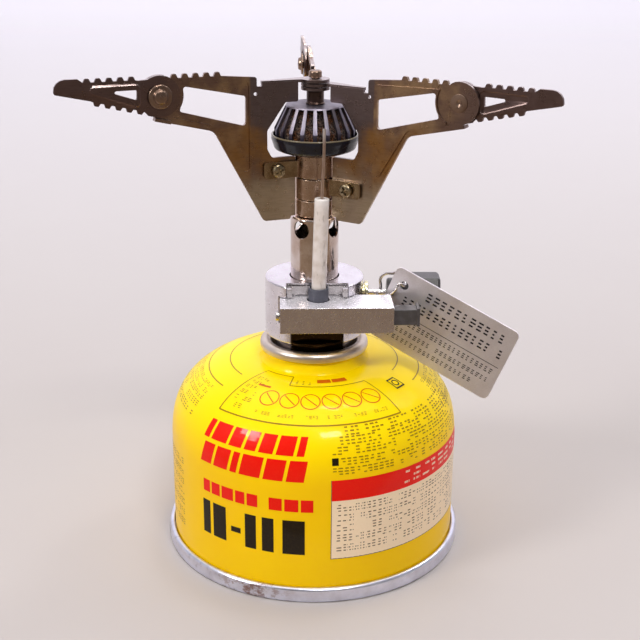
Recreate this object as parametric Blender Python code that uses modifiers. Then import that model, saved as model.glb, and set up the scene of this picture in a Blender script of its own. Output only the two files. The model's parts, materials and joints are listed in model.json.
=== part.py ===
"""Folding canister stove: a screw-in burner with three hinged pot supports on its gas canister.

The origin is the centre of the canister's foot, on the canister's axis, and +Z is up. Lengths in the
functions are millimetres, and to_metres() scales every shape once, where it becomes an object.
"""

import math

import bmesh
import bpy
from mathutils import Matrix, Vector

MM = 0.001
WELD = 2e-6
GAP = 0.3

# Gas canister
RIM_R = 45.0
WALL_R = 43.28
SHELL_T = 0.4
WALL_TOP_Z = 33.3
DOME_TOP_Z = 58.1
DOME_ROUND_R = 2.31
DOME_ROUND_Z = 2.62
NECK_R = 16.4
COLLAR_R = 14.45
COLLAR_Z = 62.7
COLLAR_TUBE_R = 1.7
PEDESTAL_R = 5.55
PEDESTAL_TOP_Z = 66.65

# Burner body, all on the canister's axis
HOUSING_R = 14.48
HOUSING_Z = (66.2, 83.6)
ADAPTER_R = 11.5
TUBE_R = 7.0
TUBE_Z = (81.7, 101.9)
AIR_HOLE_R = 2.6
AIR_HOLE_Z = 98.7
AIR_HOLE_AZIMUTHS = (-125.0, -33.0)
STEM_R = 4.7
STEM_Z = (99.9, 123.0)
BOWL_R = 12.47
BOWL_TOP_Z = 125.6
CROWN_R = 11.55
CROWN_TOP_R = 8.2
CROWN_TOP_Z = 133.9
CROWN_SLOTS = 20
POST_R = 2.45
POST_TOP_Z = 137.7

# Valve, along X
VALVE_Z = 78.2
SPINDLE_R = 1.0
KNOB_X = (25.0, 37.0)
KNOB_R = 6.2

# Igniter, turned a little about Z with the notch that holds it
IGNITER_TURN = 2.0
CASE_X = (-10.3, 21.9)
CASE_Y = (-20.0, -8.3)
CASE_Z = (72.4, 80.0)
CHANNEL_Y = (-19.5, -14.3)
CHANNEL_Z = (74.2, 79.4)
BOOT_X = 1.2
BOOT_Y = -12.0
CERAMIC_R = 2.1
CERAMIC_TOP = (2.0, -12.0, 109.7)
WIRE_R = 0.45
SPRING_WIRE_R = 0.22

# Hang tag on its wire ring
TAG_CENTRE = (37.07, -12.9, 70.3)
TAG_SIZE = (40.3, 22.8)
TAG_T = 0.8
TAG_YAW = -23.9
TAG_TILT = -5.0
TAG_SLOPE = 21.6
TAG_HOLE = (-16.0, 6.9)
TAG_HOLE_R = 1.3
RING_BENDS = (
    (24.5, -8.1, 83.4),
    (23.5, -7.7, 81.6),
    (21.7, -6.6, 79.6),
    (19.0, -5.2, 77.6),
    (18.6, -3.0, 76.4),
    (19.0, 0.0, 75.9),
    (19.5, 1.9, 77.0),
    (19.8, 2.5, 79.3),
    (19.6, 1.8, 81.6),
    (20.8, -0.2, 83.9),
    (22.6, -2.6, 84.9),
    (24.3, -4.5, 85.3),
    (26.1, -4.9, 83.4),
)

# Pot supports: plate coordinates are the distance from the axis and the height
PLATE_T = 1.0
PLATE_FOOT_Z = 102.2
PIVOT = (44.46, 138.47)
LOBE_R = 5.63
ARM_T = 0.9
ARM_OFFSET = 1.15
ARM_SLOPE = 13.4
TOOTH_TOP_Z = 144.1
TOOTH_HALF = (0.72, 1.0)
TAB_NEAR = 5.85
TAB_FAR = 6.75
RIVET_R = 1.5
SCREW_RADIUS = 11.5
EAR_T = 0.8
EAR_R = 4.0
SUPPORTS = {
    "left": {
        "azimuth": 199.55,
        "band_z": (113.5, 119.8),
        "leaf_z": (113.6, 118.5),
        "screw_z": 116.0,
        "screw_side": 1,
        "ear_z": 140.2,
        "ear_side": -1,
    },
    "right": {
        "azimuth": 328.37,
        "band_z": (107.2, 113.2),
        "leaf_z": (108.6, 113.1),
        "screw_z": 110.9,
        "screw_side": -1,
        "ear_z": 139.1,
        "ear_side": 1,
    },
    "rear": {
        "azimuth": 92.68,
        "band_z": (102.2, 106.9),
        "leaf_z": (102.4, 106.8),
        "screw_z": 104.6,
        "screw_side": 1,
        "ear_z": 138.0,
        "ear_side": -1,
    },
}

# Slot name: colour, roughness, metallic
FINISHES = {
    "canister_paint": ((0.90, 0.58, 0.01), 0.32, 0.0),
    "tinplate": ((0.62, 0.61, 0.60), 0.34, 1.0),
    "rubber": ((0.03, 0.03, 0.03), 0.75, 0.0),
    "satin_aluminium": ((0.72, 0.69, 0.68), 0.36, 1.0),
    "chrome": ((0.55, 0.49, 0.45), 0.16, 1.0),
    "brass": ((0.70, 0.50, 0.20), 0.28, 1.0),
    "spring_steel": ((0.55, 0.54, 0.52), 0.30, 1.0),
    "heat_tinted_steel": ((0.16, 0.11, 0.08), 0.36, 1.0),
    "copper_tinted_steel": ((0.36, 0.22, 0.14), 0.34, 1.0),
    "black_enamel": ((0.02, 0.02, 0.03), 0.22, 0.0),
    "grey_steel": ((0.34, 0.31, 0.33), 0.38, 1.0),
    "burnt_mesh": ((0.20, 0.11, 0.06), 0.60, 1.0),
    "ceramic": ((0.80, 0.74, 0.66), 0.25, 0.0),
    "dark_plastic": ((0.04, 0.04, 0.04), 0.50, 0.0),
}

OBJECT_NAME = "canister_stove"


# ---------------------------------------------------------------- scene and materials


def clear_scene():
    for obj in list(bpy.data.objects):
        bpy.data.objects.remove(obj, do_unlink=True)


def new_collection(name):
    collection = bpy.data.collections.new(name)
    bpy.context.scene.collection.children.link(collection)
    return collection


def make_materials():
    for slot, (colour, roughness, metallic) in FINISHES.items():
        material = bpy.data.materials.new(slot)
        material.use_nodes = True
        shader = material.node_tree.nodes["Principled BSDF"]
        shader.inputs["Base Color"].default_value = (*colour, 1.0)
        shader.inputs["Roughness"].default_value = roughness
        shader.inputs["Metallic"].default_value = metallic


def axis_empty(name, rotation_z=0.0):
    """An empty on the main axis, which turns everything parented to it."""
    empty = bpy.data.objects.new(name, None)
    empty.rotation_euler.z = math.radians(rotation_z)
    parts.objects.link(empty)
    return empty


# ---------------------------------------------------------------- outlines


def arc(centre, radius, start, end, steps):
    """Points along an arc, from the start angle to the end angle in degrees."""
    angles = [math.radians(start + (end - start) * k / steps) for k in range(steps + 1)]
    return [(centre[0] + radius * math.cos(a), centre[1] + radius * math.sin(a)) for a in angles]


def circle(centre, radius, steps):
    return arc(centre, radius, 0.0, 360.0, steps)[:-1]


def rounded(corners, steps=3):
    """An outline through (x, y, radius) corners, each turned into an arc that meets both sides."""
    points = []
    for i, (x, y, radius) in enumerate(corners):
        here = Vector((x, y))
        if radius == 0:
            points.append((x, y))
            continue
        back = (Vector(corners[i - 1][:2]) - here).normalized()
        ahead = (Vector(corners[(i + 1) % len(corners)][:2]) - here).normalized()
        half = back.angle(ahead) / 2
        centre = here + (back + ahead).normalized() * (radius / math.sin(half))
        start = here + back * (radius / math.tan(half)) - centre
        sweep = math.pi - 2 * half
        if back.x * ahead.y - back.y * ahead.x > 0:
            sweep = -sweep
        for k in range(steps + 1):
            turn = Matrix.Rotation(sweep * k / steps, 2)
            points.append(tuple(centre + turn @ start))
    return points


def teeth(first, pitch, count, valley, top):
    """Corners of a row of teeth along +X, from the first tooth's centre."""
    corners = []
    for k in range(count):
        x = first + k * pitch
        corners += [(x - TOOTH_HALF[1], valley, 0), (x - TOOTH_HALF[0], top, 0)]
        corners += [(x + TOOTH_HALF[0], top, 0), (x + TOOTH_HALF[1], valley, 0)]
    return corners


def box_outline(low, high):
    return [(low[0], low[1]), (high[0], low[1]), (high[0], high[1]), (low[0], high[1])]


# ---------------------------------------------------------------- solids


def to_metres(mesh):
    mesh.transform(Matrix.Scale(MM, 4))


def tidy(mesh):
    """Weld the seams, face everything outwards and mark the hard edges."""
    shape = bmesh.new()
    shape.from_mesh(mesh)
    bmesh.ops.remove_doubles(shape, verts=shape.verts, dist=WELD)
    bmesh.ops.recalc_face_normals(shape, faces=shape.faces)
    shape.to_mesh(mesh)
    shape.free()
    mesh.shade_smooth()
    mesh.set_sharp_from_angle(angle=math.radians(35))


def bake(source):
    """The evaluated mesh of a helper object, which is then removed."""
    bpy.context.view_layer.update()
    graph = bpy.context.evaluated_depsgraph_get()
    mesh = bpy.data.meshes.new_from_object(source.evaluated_get(graph))
    mesh.transform(source.matrix_world)
    bpy.data.objects.remove(source, do_unlink=True)
    tidy(mesh)
    return mesh


def place(name, mesh, slot, parent=None, matrix=None):
    """A named sub-part from finished mesh data, under its parent."""
    if slot and not mesh.materials:
        mesh.materials.append(bpy.data.materials[slot])
    obj = bpy.data.objects.new(name, mesh)
    parts.objects.link(obj)
    obj.parent = parent
    if matrix is not None:
        obj.matrix_local = matrix
    return obj


def helper(mesh, parent=None, matrix=None):
    """A hidden body that only cuts or joins others."""
    obj = place("cutter", mesh, None, parent, matrix)
    parts.objects.unlink(obj)
    cutters.objects.link(obj)
    obj.hide_render = True
    obj.display_type = "WIRE"
    return obj


def combine(obj, other, operation):
    modifier = obj.modifiers.new(operation.title(), "BOOLEAN")
    modifier.operation = operation
    modifier.object = other


def cut(obj, *others):
    for other in others:
        combine(obj, other, "DIFFERENCE")


def join(obj, *others):
    for other in others:
        combine(obj, other, "UNION")


def turned(outline, segments):
    """Mesh of a profile of (radius, height) points turned about Z. It closes on itself off the axis."""
    mesh = bpy.data.meshes.new("turned")
    shape = bmesh.new()
    verts = [shape.verts.new((x, 0.0, z)) for x, z in outline]
    for first, second in zip(verts, verts[1:]):
        shape.edges.new((first, second))
    if outline[0][0] > 0:
        shape.edges.new((verts[-1], verts[0]))
    shape.to_mesh(mesh)
    shape.free()
    to_metres(mesh)
    source = bpy.data.objects.new("turned", mesh)
    cutters.objects.link(source)
    screw = source.modifiers.new("Screw", "SCREW")
    screw.steps = segments
    screw.render_steps = segments
    screw.use_merge_vertices = True
    screw.merge_threshold = WELD
    return bake(source)


def rod(radius, length, segments=16):
    """Mesh of a cylinder from the origin along +Z."""
    return turned([(0, length), (radius, length), (radius, 0), (0, 0)], segments)


def sheet(outlines, thickness):
    """Mesh of a flat blank in XY, centred on Z = 0: the first outline is its edge, the rest are holes."""
    curve = bpy.data.curves.new("sheet", "CURVE")
    curve.dimensions = "2D"
    curve.fill_mode = "BOTH"
    curve.extrude = thickness * MM / 2
    for outline in outlines:
        spline = curve.splines.new("POLY")
        spline.points.add(len(outline) - 1)
        for point, (x, y) in zip(spline.points, outline):
            point.co = (x * MM, y * MM, 0.0, 1.0)
        spline.use_cyclic_u = True
    source = bpy.data.objects.new("sheet", curve)
    cutters.objects.link(source)
    return bake(source)


def block(low, high):
    """Mesh of a box between two corners."""
    mesh = bpy.data.meshes.new("block")
    shape = bmesh.new()
    bmesh.ops.create_cube(shape, size=1.0)
    size = [b - a for a, b in zip(low, high)]
    middle = [(a + b) / 2 for a, b in zip(low, high)]
    bmesh.ops.transform(shape, matrix=Matrix.Diagonal((*size, 1.0)), verts=shape.verts)
    bmesh.ops.translate(shape, vec=middle, verts=shape.verts)
    shape.to_mesh(mesh)
    shape.free()
    to_metres(mesh)
    tidy(mesh)
    return mesh


def wire(points, radius, closed=False, sides=1):
    """Mesh of a round wire through the points."""
    curve = bpy.data.curves.new("wire", "CURVE")
    curve.dimensions = "3D"
    curve.bevel_depth = radius * MM
    curve.bevel_resolution = sides
    curve.use_fill_caps = not closed
    spline = curve.splines.new("POLY")
    spline.points.add(len(points) - 1)
    for point, position in zip(spline.points, points):
        point.co = (*(Vector(position) * MM), 1.0)
    spline.use_cyclic_u = closed
    source = bpy.data.objects.new("wire", curve)
    cutters.objects.link(source)
    return bake(source)


def coil(radius, start, end, turns=4, steps=8):
    """Points along a coil spring about Z, between two heights."""
    points = []
    count = turns * steps
    for k in range(count + 1):
        angle = math.tau * k / steps
        points.append((radius * math.cos(angle), radius * math.sin(angle), start + (end - start) * k / count))
    return points


def smooth_loop(points, steps):
    """A closed loop through the points, with even bends between them."""
    loop = []
    count = len(points)
    for i in range(count):
        before, start, end, after = (Vector(points[(i + k) % count]) for k in (-1, 0, 1, 2))
        for k in range(steps):
            t = k / steps
            bend = (end - before) * t + (2 * before - 5 * start + 4 * end - after) * t * t
            bend += (3 * start - before - 3 * end + after) * t**3
            loop.append(tuple(start + bend / 2))
    return loop


def at(x=0.0, y=0.0, z=0.0):
    return Matrix.Translation(Vector((x, y, z)) * MM)


def along(axis):
    """Turns a shape that lies along +Z to lie along another axis."""
    return Vector((0, 0, 1)).rotation_difference(Vector(axis)).to_matrix().to_4x4()


def upright():
    """Turns a blank drawn in XY into the plane of a support: X outwards, Y up."""
    return Matrix.Rotation(math.radians(90), 4, "X")


# ---------------------------------------------------------------- gas canister


def dome(inset, steps=5):
    """The canister's shoulder, from the neck out to the straight wall, at a distance inside the skin."""
    points = []
    for k in range(steps, -1, -1):
        angle = math.pi / 2 * k / steps
        reach = WALL_R - inset - NECK_R
        rise = DOME_TOP_Z - inset - WALL_TOP_Z
        x = NECK_R + reach * math.cos(angle) ** (2 / DOME_ROUND_R)
        points.append((x, WALL_TOP_Z + rise * math.sin(angle) ** (2 / DOME_ROUND_Z)))
    return points


def make_canister():
    bead_z = COLLAR_Z - 0.1
    foot_z = 2.6
    outer = arc((COLLAR_R, bead_z), 0.9, 90, -45, 2) + [(15.3, 59.6)] + dome(0.0)
    inner = [(14.8, 59.6)] + arc((COLLAR_R, bead_z), 0.9, -110, -270, 2)[:-1]
    skin_feet = [(WALL_R, foot_z), (WALL_R - SHELL_T, foot_z)]
    outline = outer + skin_feet + dome(SHELL_T)[::-1] + inner
    place("canister_shell", turned(outline, 30), "canister_paint")

    groove = (WALL_R - SHELL_T - GAP, WALL_R + GAP)
    base = [(0, 8.0), (22, 7.0), (40.9, 4.2), (groove[0], 4.4)]
    base += [(groove[0], 2.2), (groove[1], 2.2), (groove[1], 4.6), (44.5, 4.6), (RIM_R, 4.1)]
    base += [(RIM_R, 0.8), (44.3, 0), (42.3, 0), (41.5, 0.8), (41.2, 3.6), (22, 6.4), (0, 7.5)]
    place("canister_base", turned(base, 30), "tinplate")

    collar = (COLLAR_R, COLLAR_Z)
    cup = arc(collar, COLLAR_TUBE_R, 90, 0, 2) + [(COLLAR_R + COLLAR_TUBE_R, 61.6), (15.7, 61.6)]
    cup += arc(collar, 1.25, 0, 180, 4) + [(13.2, 57.3), (5.05, 57.3)]
    cup += [(5.05, 66.15), (2.0, 66.15), (2.0, PEDESTAL_TOP_Z), (5.2, PEDESTAL_TOP_Z)]
    cup += [(PEDESTAL_R, 66.3), (PEDESTAL_R, 57.75), (12.75, 57.75)]
    cup += arc(collar, COLLAR_TUBE_R, 180, 90, 2)[:-1]
    place("valve_cup", turned(cup, 24), "tinplate")


def make_canister_valve():
    housing = [(4.7, 64.5), (4.7, 55.0), (4.2, 54.5), (0.7, 54.5), (0.7, 56.4), (2.6, 56.4), (2.6, 64.5)]
    place("valve_housing", turned(housing, 16), "dark_plastic")
    place("valve_gasket", turned([(1.8, 65.8), (4.7, 65.8), (4.7, 64.8), (1.8, 64.8)], 16), "rubber")
    stem = [(0, 65.6), (1.4, 65.6), (1.4, 63.5), (2.25, 63.5), (2.25, 62.3), (1.3, 62.3), (1.3, 60.2)]
    place("valve_stem", turned(stem + [(0, 60.2)], 14), "brass")
    place("valve_spring", wire(coil(1.95, 57.0, 61.8), SPRING_WIRE_R, sides=0), "spring_steel")


# ---------------------------------------------------------------- burner body


def make_adapter():
    adapter = [(1.3, 72.4), (7.2, 72.4), (7.2, 65.9), (ADAPTER_R, 65.9), (ADAPTER_R, 58.8)]
    adapter += [(11.0, 58.3), (5.9, 58.3), (5.9, 68.7), (1.3, 68.7)]
    place("canister_adapter", turned(adapter, 20), "satin_aluminium")
    place("adapter_o_ring", turned(circle((4.0, 67.68), 0.75, 6)[::-1], 14), "rubber")
    place("actuator_pin", turned([(0, 71.6), (0.9, 71.6), (0.9, 65.9), (0, 65.9)], 12), "spring_steel")


def make_housing(igniter_axis):
    low, high = HOUSING_Z
    outline = [(7.3, high), (13.9, high), (HOUSING_R, high - 0.5), (HOUSING_R, low + 0.6), (13.9, low)]
    outline += [(7.5, low), (7.5, 72.7), (3.2, 72.7), (3.2, 81.4), (7.3, 81.4)]
    housing = place("base_housing", turned(outline, 32), "satin_aluminium")
    front = -20.0
    pocket = block((-10.7, front, CASE_Z[0] - GAP), (20.0, -7.9, CASE_Z[1] + GAP))
    notch = block((-8.5, front, 79.0), (9.5, -8.1, 86.0))
    slot = block((-6.7, front, 60.0), (8.1, -9.0, 74.0))
    for mesh in (pocket, notch, slot):
        cut(housing, helper(mesh, igniter_axis))
    cut(housing, helper(rod(1.35, 30.0), matrix=at(0, 0, VALVE_Z) @ along((1, 0, 0))))
    cut(housing, helper(rod(2.9, 10.0), matrix=at(9.2, 0, VALVE_Z) @ along((1, 0, 0))))


def make_mixing_tube():
    low, high = TUBE_Z
    outline = [(4.95, high), (TUBE_R, high), (TUBE_R, low), (6.4, low), (6.4, high - 0.45)]
    tube = place("mixing_tube", turned(outline + [(4.95, high - 0.45)], 24), "chrome")
    for azimuth in AIR_HOLE_AZIMUTHS:
        direction = Matrix.Rotation(math.radians(azimuth), 4, "Z") @ along((1, 0, 0))
        drill = at(0, 0, AIR_HOLE_Z) @ direction @ at(0, 0, -10)
        cut(tube, helper(rod(AIR_HOLE_R, 20.0, 12), matrix=drill))
    jet = [(0.4, 95.6), (1.2, 95.6), (2.2, 93.8), (2.2, 85.0), (3.5, 85.0), (3.5, 81.8), (2.9, 81.8)]
    place("jet_nozzle", turned(jet + [(2.9, 79.9), (0.4, 79.9)], 16), "brass")
    stem = [(4.0, STEM_Z[1]), (STEM_R, STEM_Z[1]), (STEM_R, STEM_Z[0]), (4.0, STEM_Z[0])]
    place("burner_stem", turned(stem, 20), "copper_tinted_steel")


def make_head():
    bowl = [(BOWL_R, BOWL_TOP_Z), (BOWL_R, 124.7), (12.15, 122.8), (11.4, 121.7), (9.4, 120.8)]
    bowl += [(5.0, 120.1), (5.0, 120.8), (9.2, 121.5), (11.2, 122.5), (11.87, 124.7)]
    place("burner_bowl", turned(bowl + [(11.87, BOWL_TOP_Z)], 28), "black_enamel")

    mesh_cone = [(7.05, 132.8), (10.35, 126.9), (10.35, 124.9), (9.95, 124.9), (9.95, 126.8)]
    place("flame_mesh", turned(mesh_cone + [(6.65, 132.8)], 20), "burnt_mesh")

    crown = [(0, CROWN_TOP_Z), (CROWN_TOP_R, CROWN_TOP_Z), (CROWN_R, 127.2), (CROWN_R, 125.4), (11.15, 125.0)]
    crown += [(11.15, 123.7), (10.7, 123.7), (10.7, 127.0), (7.4, 133.0), (0, 133.0)]
    crown_part = place("burner_crown", turned(crown, 40), "grey_steel")
    for k in range(CROWN_SLOTS):
        wedge = block((7.0, -0.5, 125.0), (14.0, 0.5, 133.5))
        for vert in wedge.vertices:
            low_end = vert.co.z < 130.0 * MM
            vert.co.y *= 2.65 if low_end else 1.75
        turn = Matrix.Rotation(math.tau * (k + 0.5) / CROWN_SLOTS, 4, "Z")
        cut(crown_part, helper(wedge, matrix=turn))

    post = [(1.3, POST_TOP_Z), (POST_R, POST_TOP_Z), (POST_R, 134.4), (2.9, 134.1), (0, 134.1)]
    place("burner_post", turned([(0, 134.8), (1.3, 134.8)] + post, 20), "black_enamel")
    rivet = [(0, 143.3), (1.5, 143.3), (1.83, 142.9), (1.83, 141.3), (0.95, 141.3), (0.95, 135.1)]
    place("pivot_rivet", turned(rivet + [(0, 135.1)], 16), "copper_tinted_steel")


# ---------------------------------------------------------------- valve


def make_valve():
    gland = [(1.35, 15.9), (3.4, 15.9), (3.4, 14.8), (2.6, 14.8), (2.6, 9.6), (1.35, 9.6)]
    along_x = at(0, 0, VALVE_Z) @ along((1, 0, 0))
    place("gland_nut", turned(gland, 18), "brass", matrix=along_x)
    spindle = [(0, 29.6), (SPINDLE_R, 29.6), (SPINDLE_R, 5.6), (0.3, 4.0), (0, 4.0)]
    place("valve_spindle", turned(spindle, 14), "spring_steel", matrix=along_x)

    hub = [(1.3, 25.5), (4.3, 25.5), (4.3, 21.8), (3.9, 21.4), (1.3, 21.4)]
    knob = place("control_knob", turned(hub, 18), "dark_plastic", matrix=along_x)
    low, high = KNOB_X
    grip = [(1.0, high), (KNOB_R - 0.6, high), (KNOB_R, high - 0.6), (KNOB_R, low + 0.6)]
    grip = turned(grip + [(KNOB_R - 0.6, low), (1.0, low)], 6)
    flat_up = Matrix.Rotation(math.radians(30), 4, "Z")
    join(knob, helper(grip, matrix=along_x @ flat_up))
    cut(knob, helper(rod(1.3, 30.0), matrix=at(20, 0, VALVE_Z) @ along((1, 0, 0))))
    cut(knob, helper(rod(2.45, 5.0), matrix=at(35.5, 0, VALVE_Z) @ along((1, 0, 0))))
    screw = [(0, 36.7), (2.1, 36.7), (2.1, 35.8), (0.9, 35.8), (0.9, 30.0), (0, 30.0)]
    place("knob_screw", turned(screw, 16), "spring_steel", matrix=along_x)


# ---------------------------------------------------------------- igniter


def make_igniter(axis):
    low = (CASE_X[0], CASE_Y[0], CASE_Z[0])
    high = (CASE_X[1], CASE_Y[1], CASE_Z[1])
    case = place("igniter_case", block(low, high), "satin_aluminium", axis)
    channel = block((-8.8, CHANNEL_Y[0], CHANNEL_Z[0]), (30.0, CHANNEL_Y[1], CHANNEL_Z[1]))
    cut(case, helper(channel, axis))
    cut(case, helper(rod(3.2, 10.0, 20), matrix=at(BOOT_X, BOOT_Y, 76.0)))
    cut(case, helper(rod(1.1, 5.0, 12), axis, at(-12.0, -16.9, 76.8) @ along((1, 0, 0))))

    pin = [(0, 4.6), (0.8, 4.6), (0.8, 1.0), (1.4, 1.0), (1.4, 0.3), (1.1, 0), (0, 0)]
    matrix = at(-11.6, -16.9, 76.8) @ along((1, 0, 0))
    place("igniter_pin", turned(pin, 14), "spring_steel", axis, matrix)

    middle_y = sum(CHANNEL_Y) / 2
    middle_z = sum(CHANNEL_Z) / 2
    matrix = at(0, middle_y, middle_z) @ along((1, 0, 0))
    crystal = [(0, 3.0), (1.9, 3.0), (1.9, -6.4), (0, -6.4)]
    place("piezo_crystal", turned(crystal, 14), "ceramic", axis, matrix)
    hammer = [(0, 8.0), (2.1, 8.0), (2.1, 4.4), (1.2, 3.4), (0, 3.4)]
    place("piezo_hammer", turned(hammer, 14), "spring_steel", axis, matrix)

    plunger = block((17.0, -19.2, 74.5), (28.8, -14.6, 79.1))
    button = place("igniter_button", plunger, "dark_plastic", axis)
    join(button, helper(block((28.4, -19.6, 74.2), (29.3, -14.2, 79.6)), axis))

    path = [(run, middle_y + y, middle_z + z) for y, z, run in coil(1.7, 12.6, 16.5)]
    place("button_spring", wire(path, SPRING_WIRE_R, sides=0), "spring_steel", axis)

    bracket = block((-8.2, -8.9, 80.3), (9.2, -8.4, 82.9))
    bracket_part = place("igniter_bracket", bracket, "grey_steel", axis)
    for start in (-8.2, 7.8):
        cheek = block((start, -11.6, 80.35), (start + 1.4, -8.5, 82.85))
        join(bracket_part, helper(cheek, axis))


def make_electrode():
    """The electrode stands clear of the turned group: its boot, its ceramic tube and its wire."""
    foot = Vector((BOOT_X, BOOT_Y, 80.8))
    top = Vector(CERAMIC_TOP)
    lean = at(*foot) @ along(top - foot)
    length = (top - foot).length
    boot = [(2.5, 83.7), (2.9, 83.5), (2.9, 79.0), (0.8, 79.0), (0.8, 80.4), (2.5, 80.4)]
    place("electrode_boot", turned(boot, 16), "dark_plastic", matrix=at(BOOT_X, BOOT_Y, 0))
    tube = [(0.8, length), (1.8, length), (CERAMIC_R, length - 0.3), (CERAMIC_R, 0), (0.8, 0)]
    place("ceramic_insulator", turned(tube, 14), "ceramic", matrix=lean)
    path = [(BOOT_X, BOOT_Y, 79.4), (BOOT_X, BOOT_Y, 80.8), CERAMIC_TOP, (2.15, -12.4, 114.0)]
    path += [(2.4, -13.3, 120.0), (2.5, -13.6, 125.0), (2.5, -13.4, 129.5)]
    place("electrode_wire", wire(path, WIRE_R), "copper_tinted_steel")


# ---------------------------------------------------------------- hang tag


def tag_frame():
    """The tag's own frame: X along it, Z across it, and Y into it."""
    turn = Matrix.Rotation(math.radians(TAG_YAW), 4, "Z")
    turn = turn @ Matrix.Rotation(math.radians(TAG_TILT), 4, "X")
    turn = turn @ Matrix.Rotation(math.radians(TAG_SLOPE), 4, "Y")
    return at(*TAG_CENTRE) @ turn


def make_tag():
    half_x, half_z = TAG_SIZE[0] / 2, TAG_SIZE[1] / 2
    corners = [(x, z, 1.7) for x, z in box_outline((-half_x, -half_z), (half_x, half_z))]
    blank = sheet([rounded(corners), circle(TAG_HOLE, TAG_HOLE_R, 14)], TAG_T)
    place("id_tag", blank, "satin_aluminium", matrix=tag_frame() @ upright())

    hole = tag_frame() @ (Vector((TAG_HOLE[0], 0, TAG_HOLE[1])) * MM) / MM
    ring = smooth_loop([tuple(hole)] + list(RING_BENDS), 2)
    place("tag_ring", wire(ring, WIRE_R, closed=True), "spring_steel")


# ---------------------------------------------------------------- pot supports


def slope_point(distance, run):
    """A point at a distance below the pivot, square to the sloping lower edge, and some way along it."""
    angle = math.radians(ARM_SLOPE)
    x = PIVOT[0] + distance * math.sin(angle) + run * math.cos(angle)
    z = PIVOT[1] - distance * math.cos(angle) + run * math.sin(angle)
    return x, z


def plate_outline(ear_z):
    """Edge of a support plate, clockwise from the inner end of its raised strip."""
    notch_z = ear_z - 0.6
    corners = [(17.2, 142.2, 0.7)]
    corners += teeth(28.3, 2.985, 5, 143.0, TOOTH_TOP_Z)
    corners += [(41.6, 143.0, 0)]
    corners += [(x, z, 0) for x, z in arc(PIVOT, LOBE_R, 105, -76.6, 11)]
    tab_end = slope_point(TAB_FAR, 0.3)
    elbow = slope_point(TAB_FAR, -16.9)
    corners += [(*tab_end, 0), (*elbow, 3.5), (15.5, PLATE_FOOT_Z, 1.3)]
    corners += [(6.1, PLATE_FOOT_Z, 0.4), (6.1, 119.5, 0.3), (13.0, 119.5, 1.2)]
    corners += [(14.3, 122.0, 0.8), (14.3, 127.2, 1.0), (8.9, 134.9, 0.5), (5.2, 134.9, 0.6)]
    corners += [(5.2, ear_z + 0.4, 0), (15.7, ear_z + 0.4, 0), (15.7, notch_z, 0.3), (17.2, notch_z, 0.3)]
    return rounded(corners)


def window_outline():
    outer_end = [(x, z, 0) for x, z in arc(PIVOT, 6.8, 222, 161, 4)]
    outer_end[0] = (39.5, 134.0, 0.6)
    outer_end[-1] = (38.0, 140.7, 0.7)
    return rounded([(20.2, 137.1, 0.9), (20.3, 128.8, 0.9)] + outer_end)


def ear_outline(side):
    """The ear that folds over from a plate's top edge, with its eye round the pivot rivet."""
    eye = arc((0, 0), EAR_R, 68, 352, 12)
    points = [(5.4, -0.35), (15.7, -0.35), (15.7, 0.9)] + eye
    return [(x, y * side) for x, y in points]


def arm_outline():
    """Edge of an outer arm, clockwise from the top of its pivot disc."""
    neck_z = PIVOT[1] + 4.5
    corners = [(x, z, 0) for x, z in arc(PIVOT, LOBE_R, 90, 56, 2)]
    corners += [(50.2, neck_z, 0)]
    corners += teeth(51.93, 2.94, 5, 143.1, TOOTH_TOP_Z)
    corners += [(66.1, TOOTH_TOP_Z, 0), (72.6, TOOTH_TOP_Z, 3.2), (72.4, 140.3, 0.8)]
    corners += [(*slope_point(4.58, 18.0), 0)]
    for k in range(4, -1, -1):
        middle = 4.46 + 2.93 * k
        corners += [(*slope_point(4.7, middle + TOOTH_HALF[1]), 0)]
        corners += [(*slope_point(LOBE_R, middle + TOOTH_HALF[0]), 0)]
        corners += [(*slope_point(LOBE_R, middle - TOOTH_HALF[0]), 0)]
        corners += [(*slope_point(4.7, middle - TOOTH_HALF[1]), 0)]
    corners += [(*slope_point(LOBE_R, 2.1), 0)]
    corners += [(x, z, 0) for x, z in arc(PIVOT, LOBE_R, -76.6, -250, 10)]
    return rounded(corners)


def arm_window():
    return rounded([(58.4, 140.2, 0.5), (50.9, 140.5, 0.4), (50.9, 137.7, 0.4)])


def support_blanks():
    """The blanks, screws and rivets that all three supports share."""
    arm_holes = [arm_window(), circle(PIVOT, RIVET_R + 0.25, 14)]
    screw = [(0, 3.2), (0.9, 3.1), (1.6, 2.7), (1.9, 2.2), (1.9, 1.8), (0.9, 1.8), (0.9, -3.2), (0, -3.2)]
    nut = turned([(1.15, 3.3), (2.1, 3.3), (2.1, 1.8), (1.15, 1.8)], 6)
    rivet = [(0, 3.5), (1.3, 3.4), (1.9, 2.9), (2.1, 2.5), (3.0, 2.5), (3.3, 2.2), (3.3, 1.9)]
    rivet += [(RIVET_R, 1.9), (RIVET_R, -0.8), (2.4, -0.8), (2.4, -1.1), (0.5, -1.1), (0.5, -0.6), (0, -0.6)]
    return {
        "outer_arm": sheet([arm_outline()] + arm_holes, ARM_T),
        "hinge_screw": turned(screw, 12),
        "hinge_nut": nut,
        "arm_rivet": turned(rivet, 12),
    }


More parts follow.
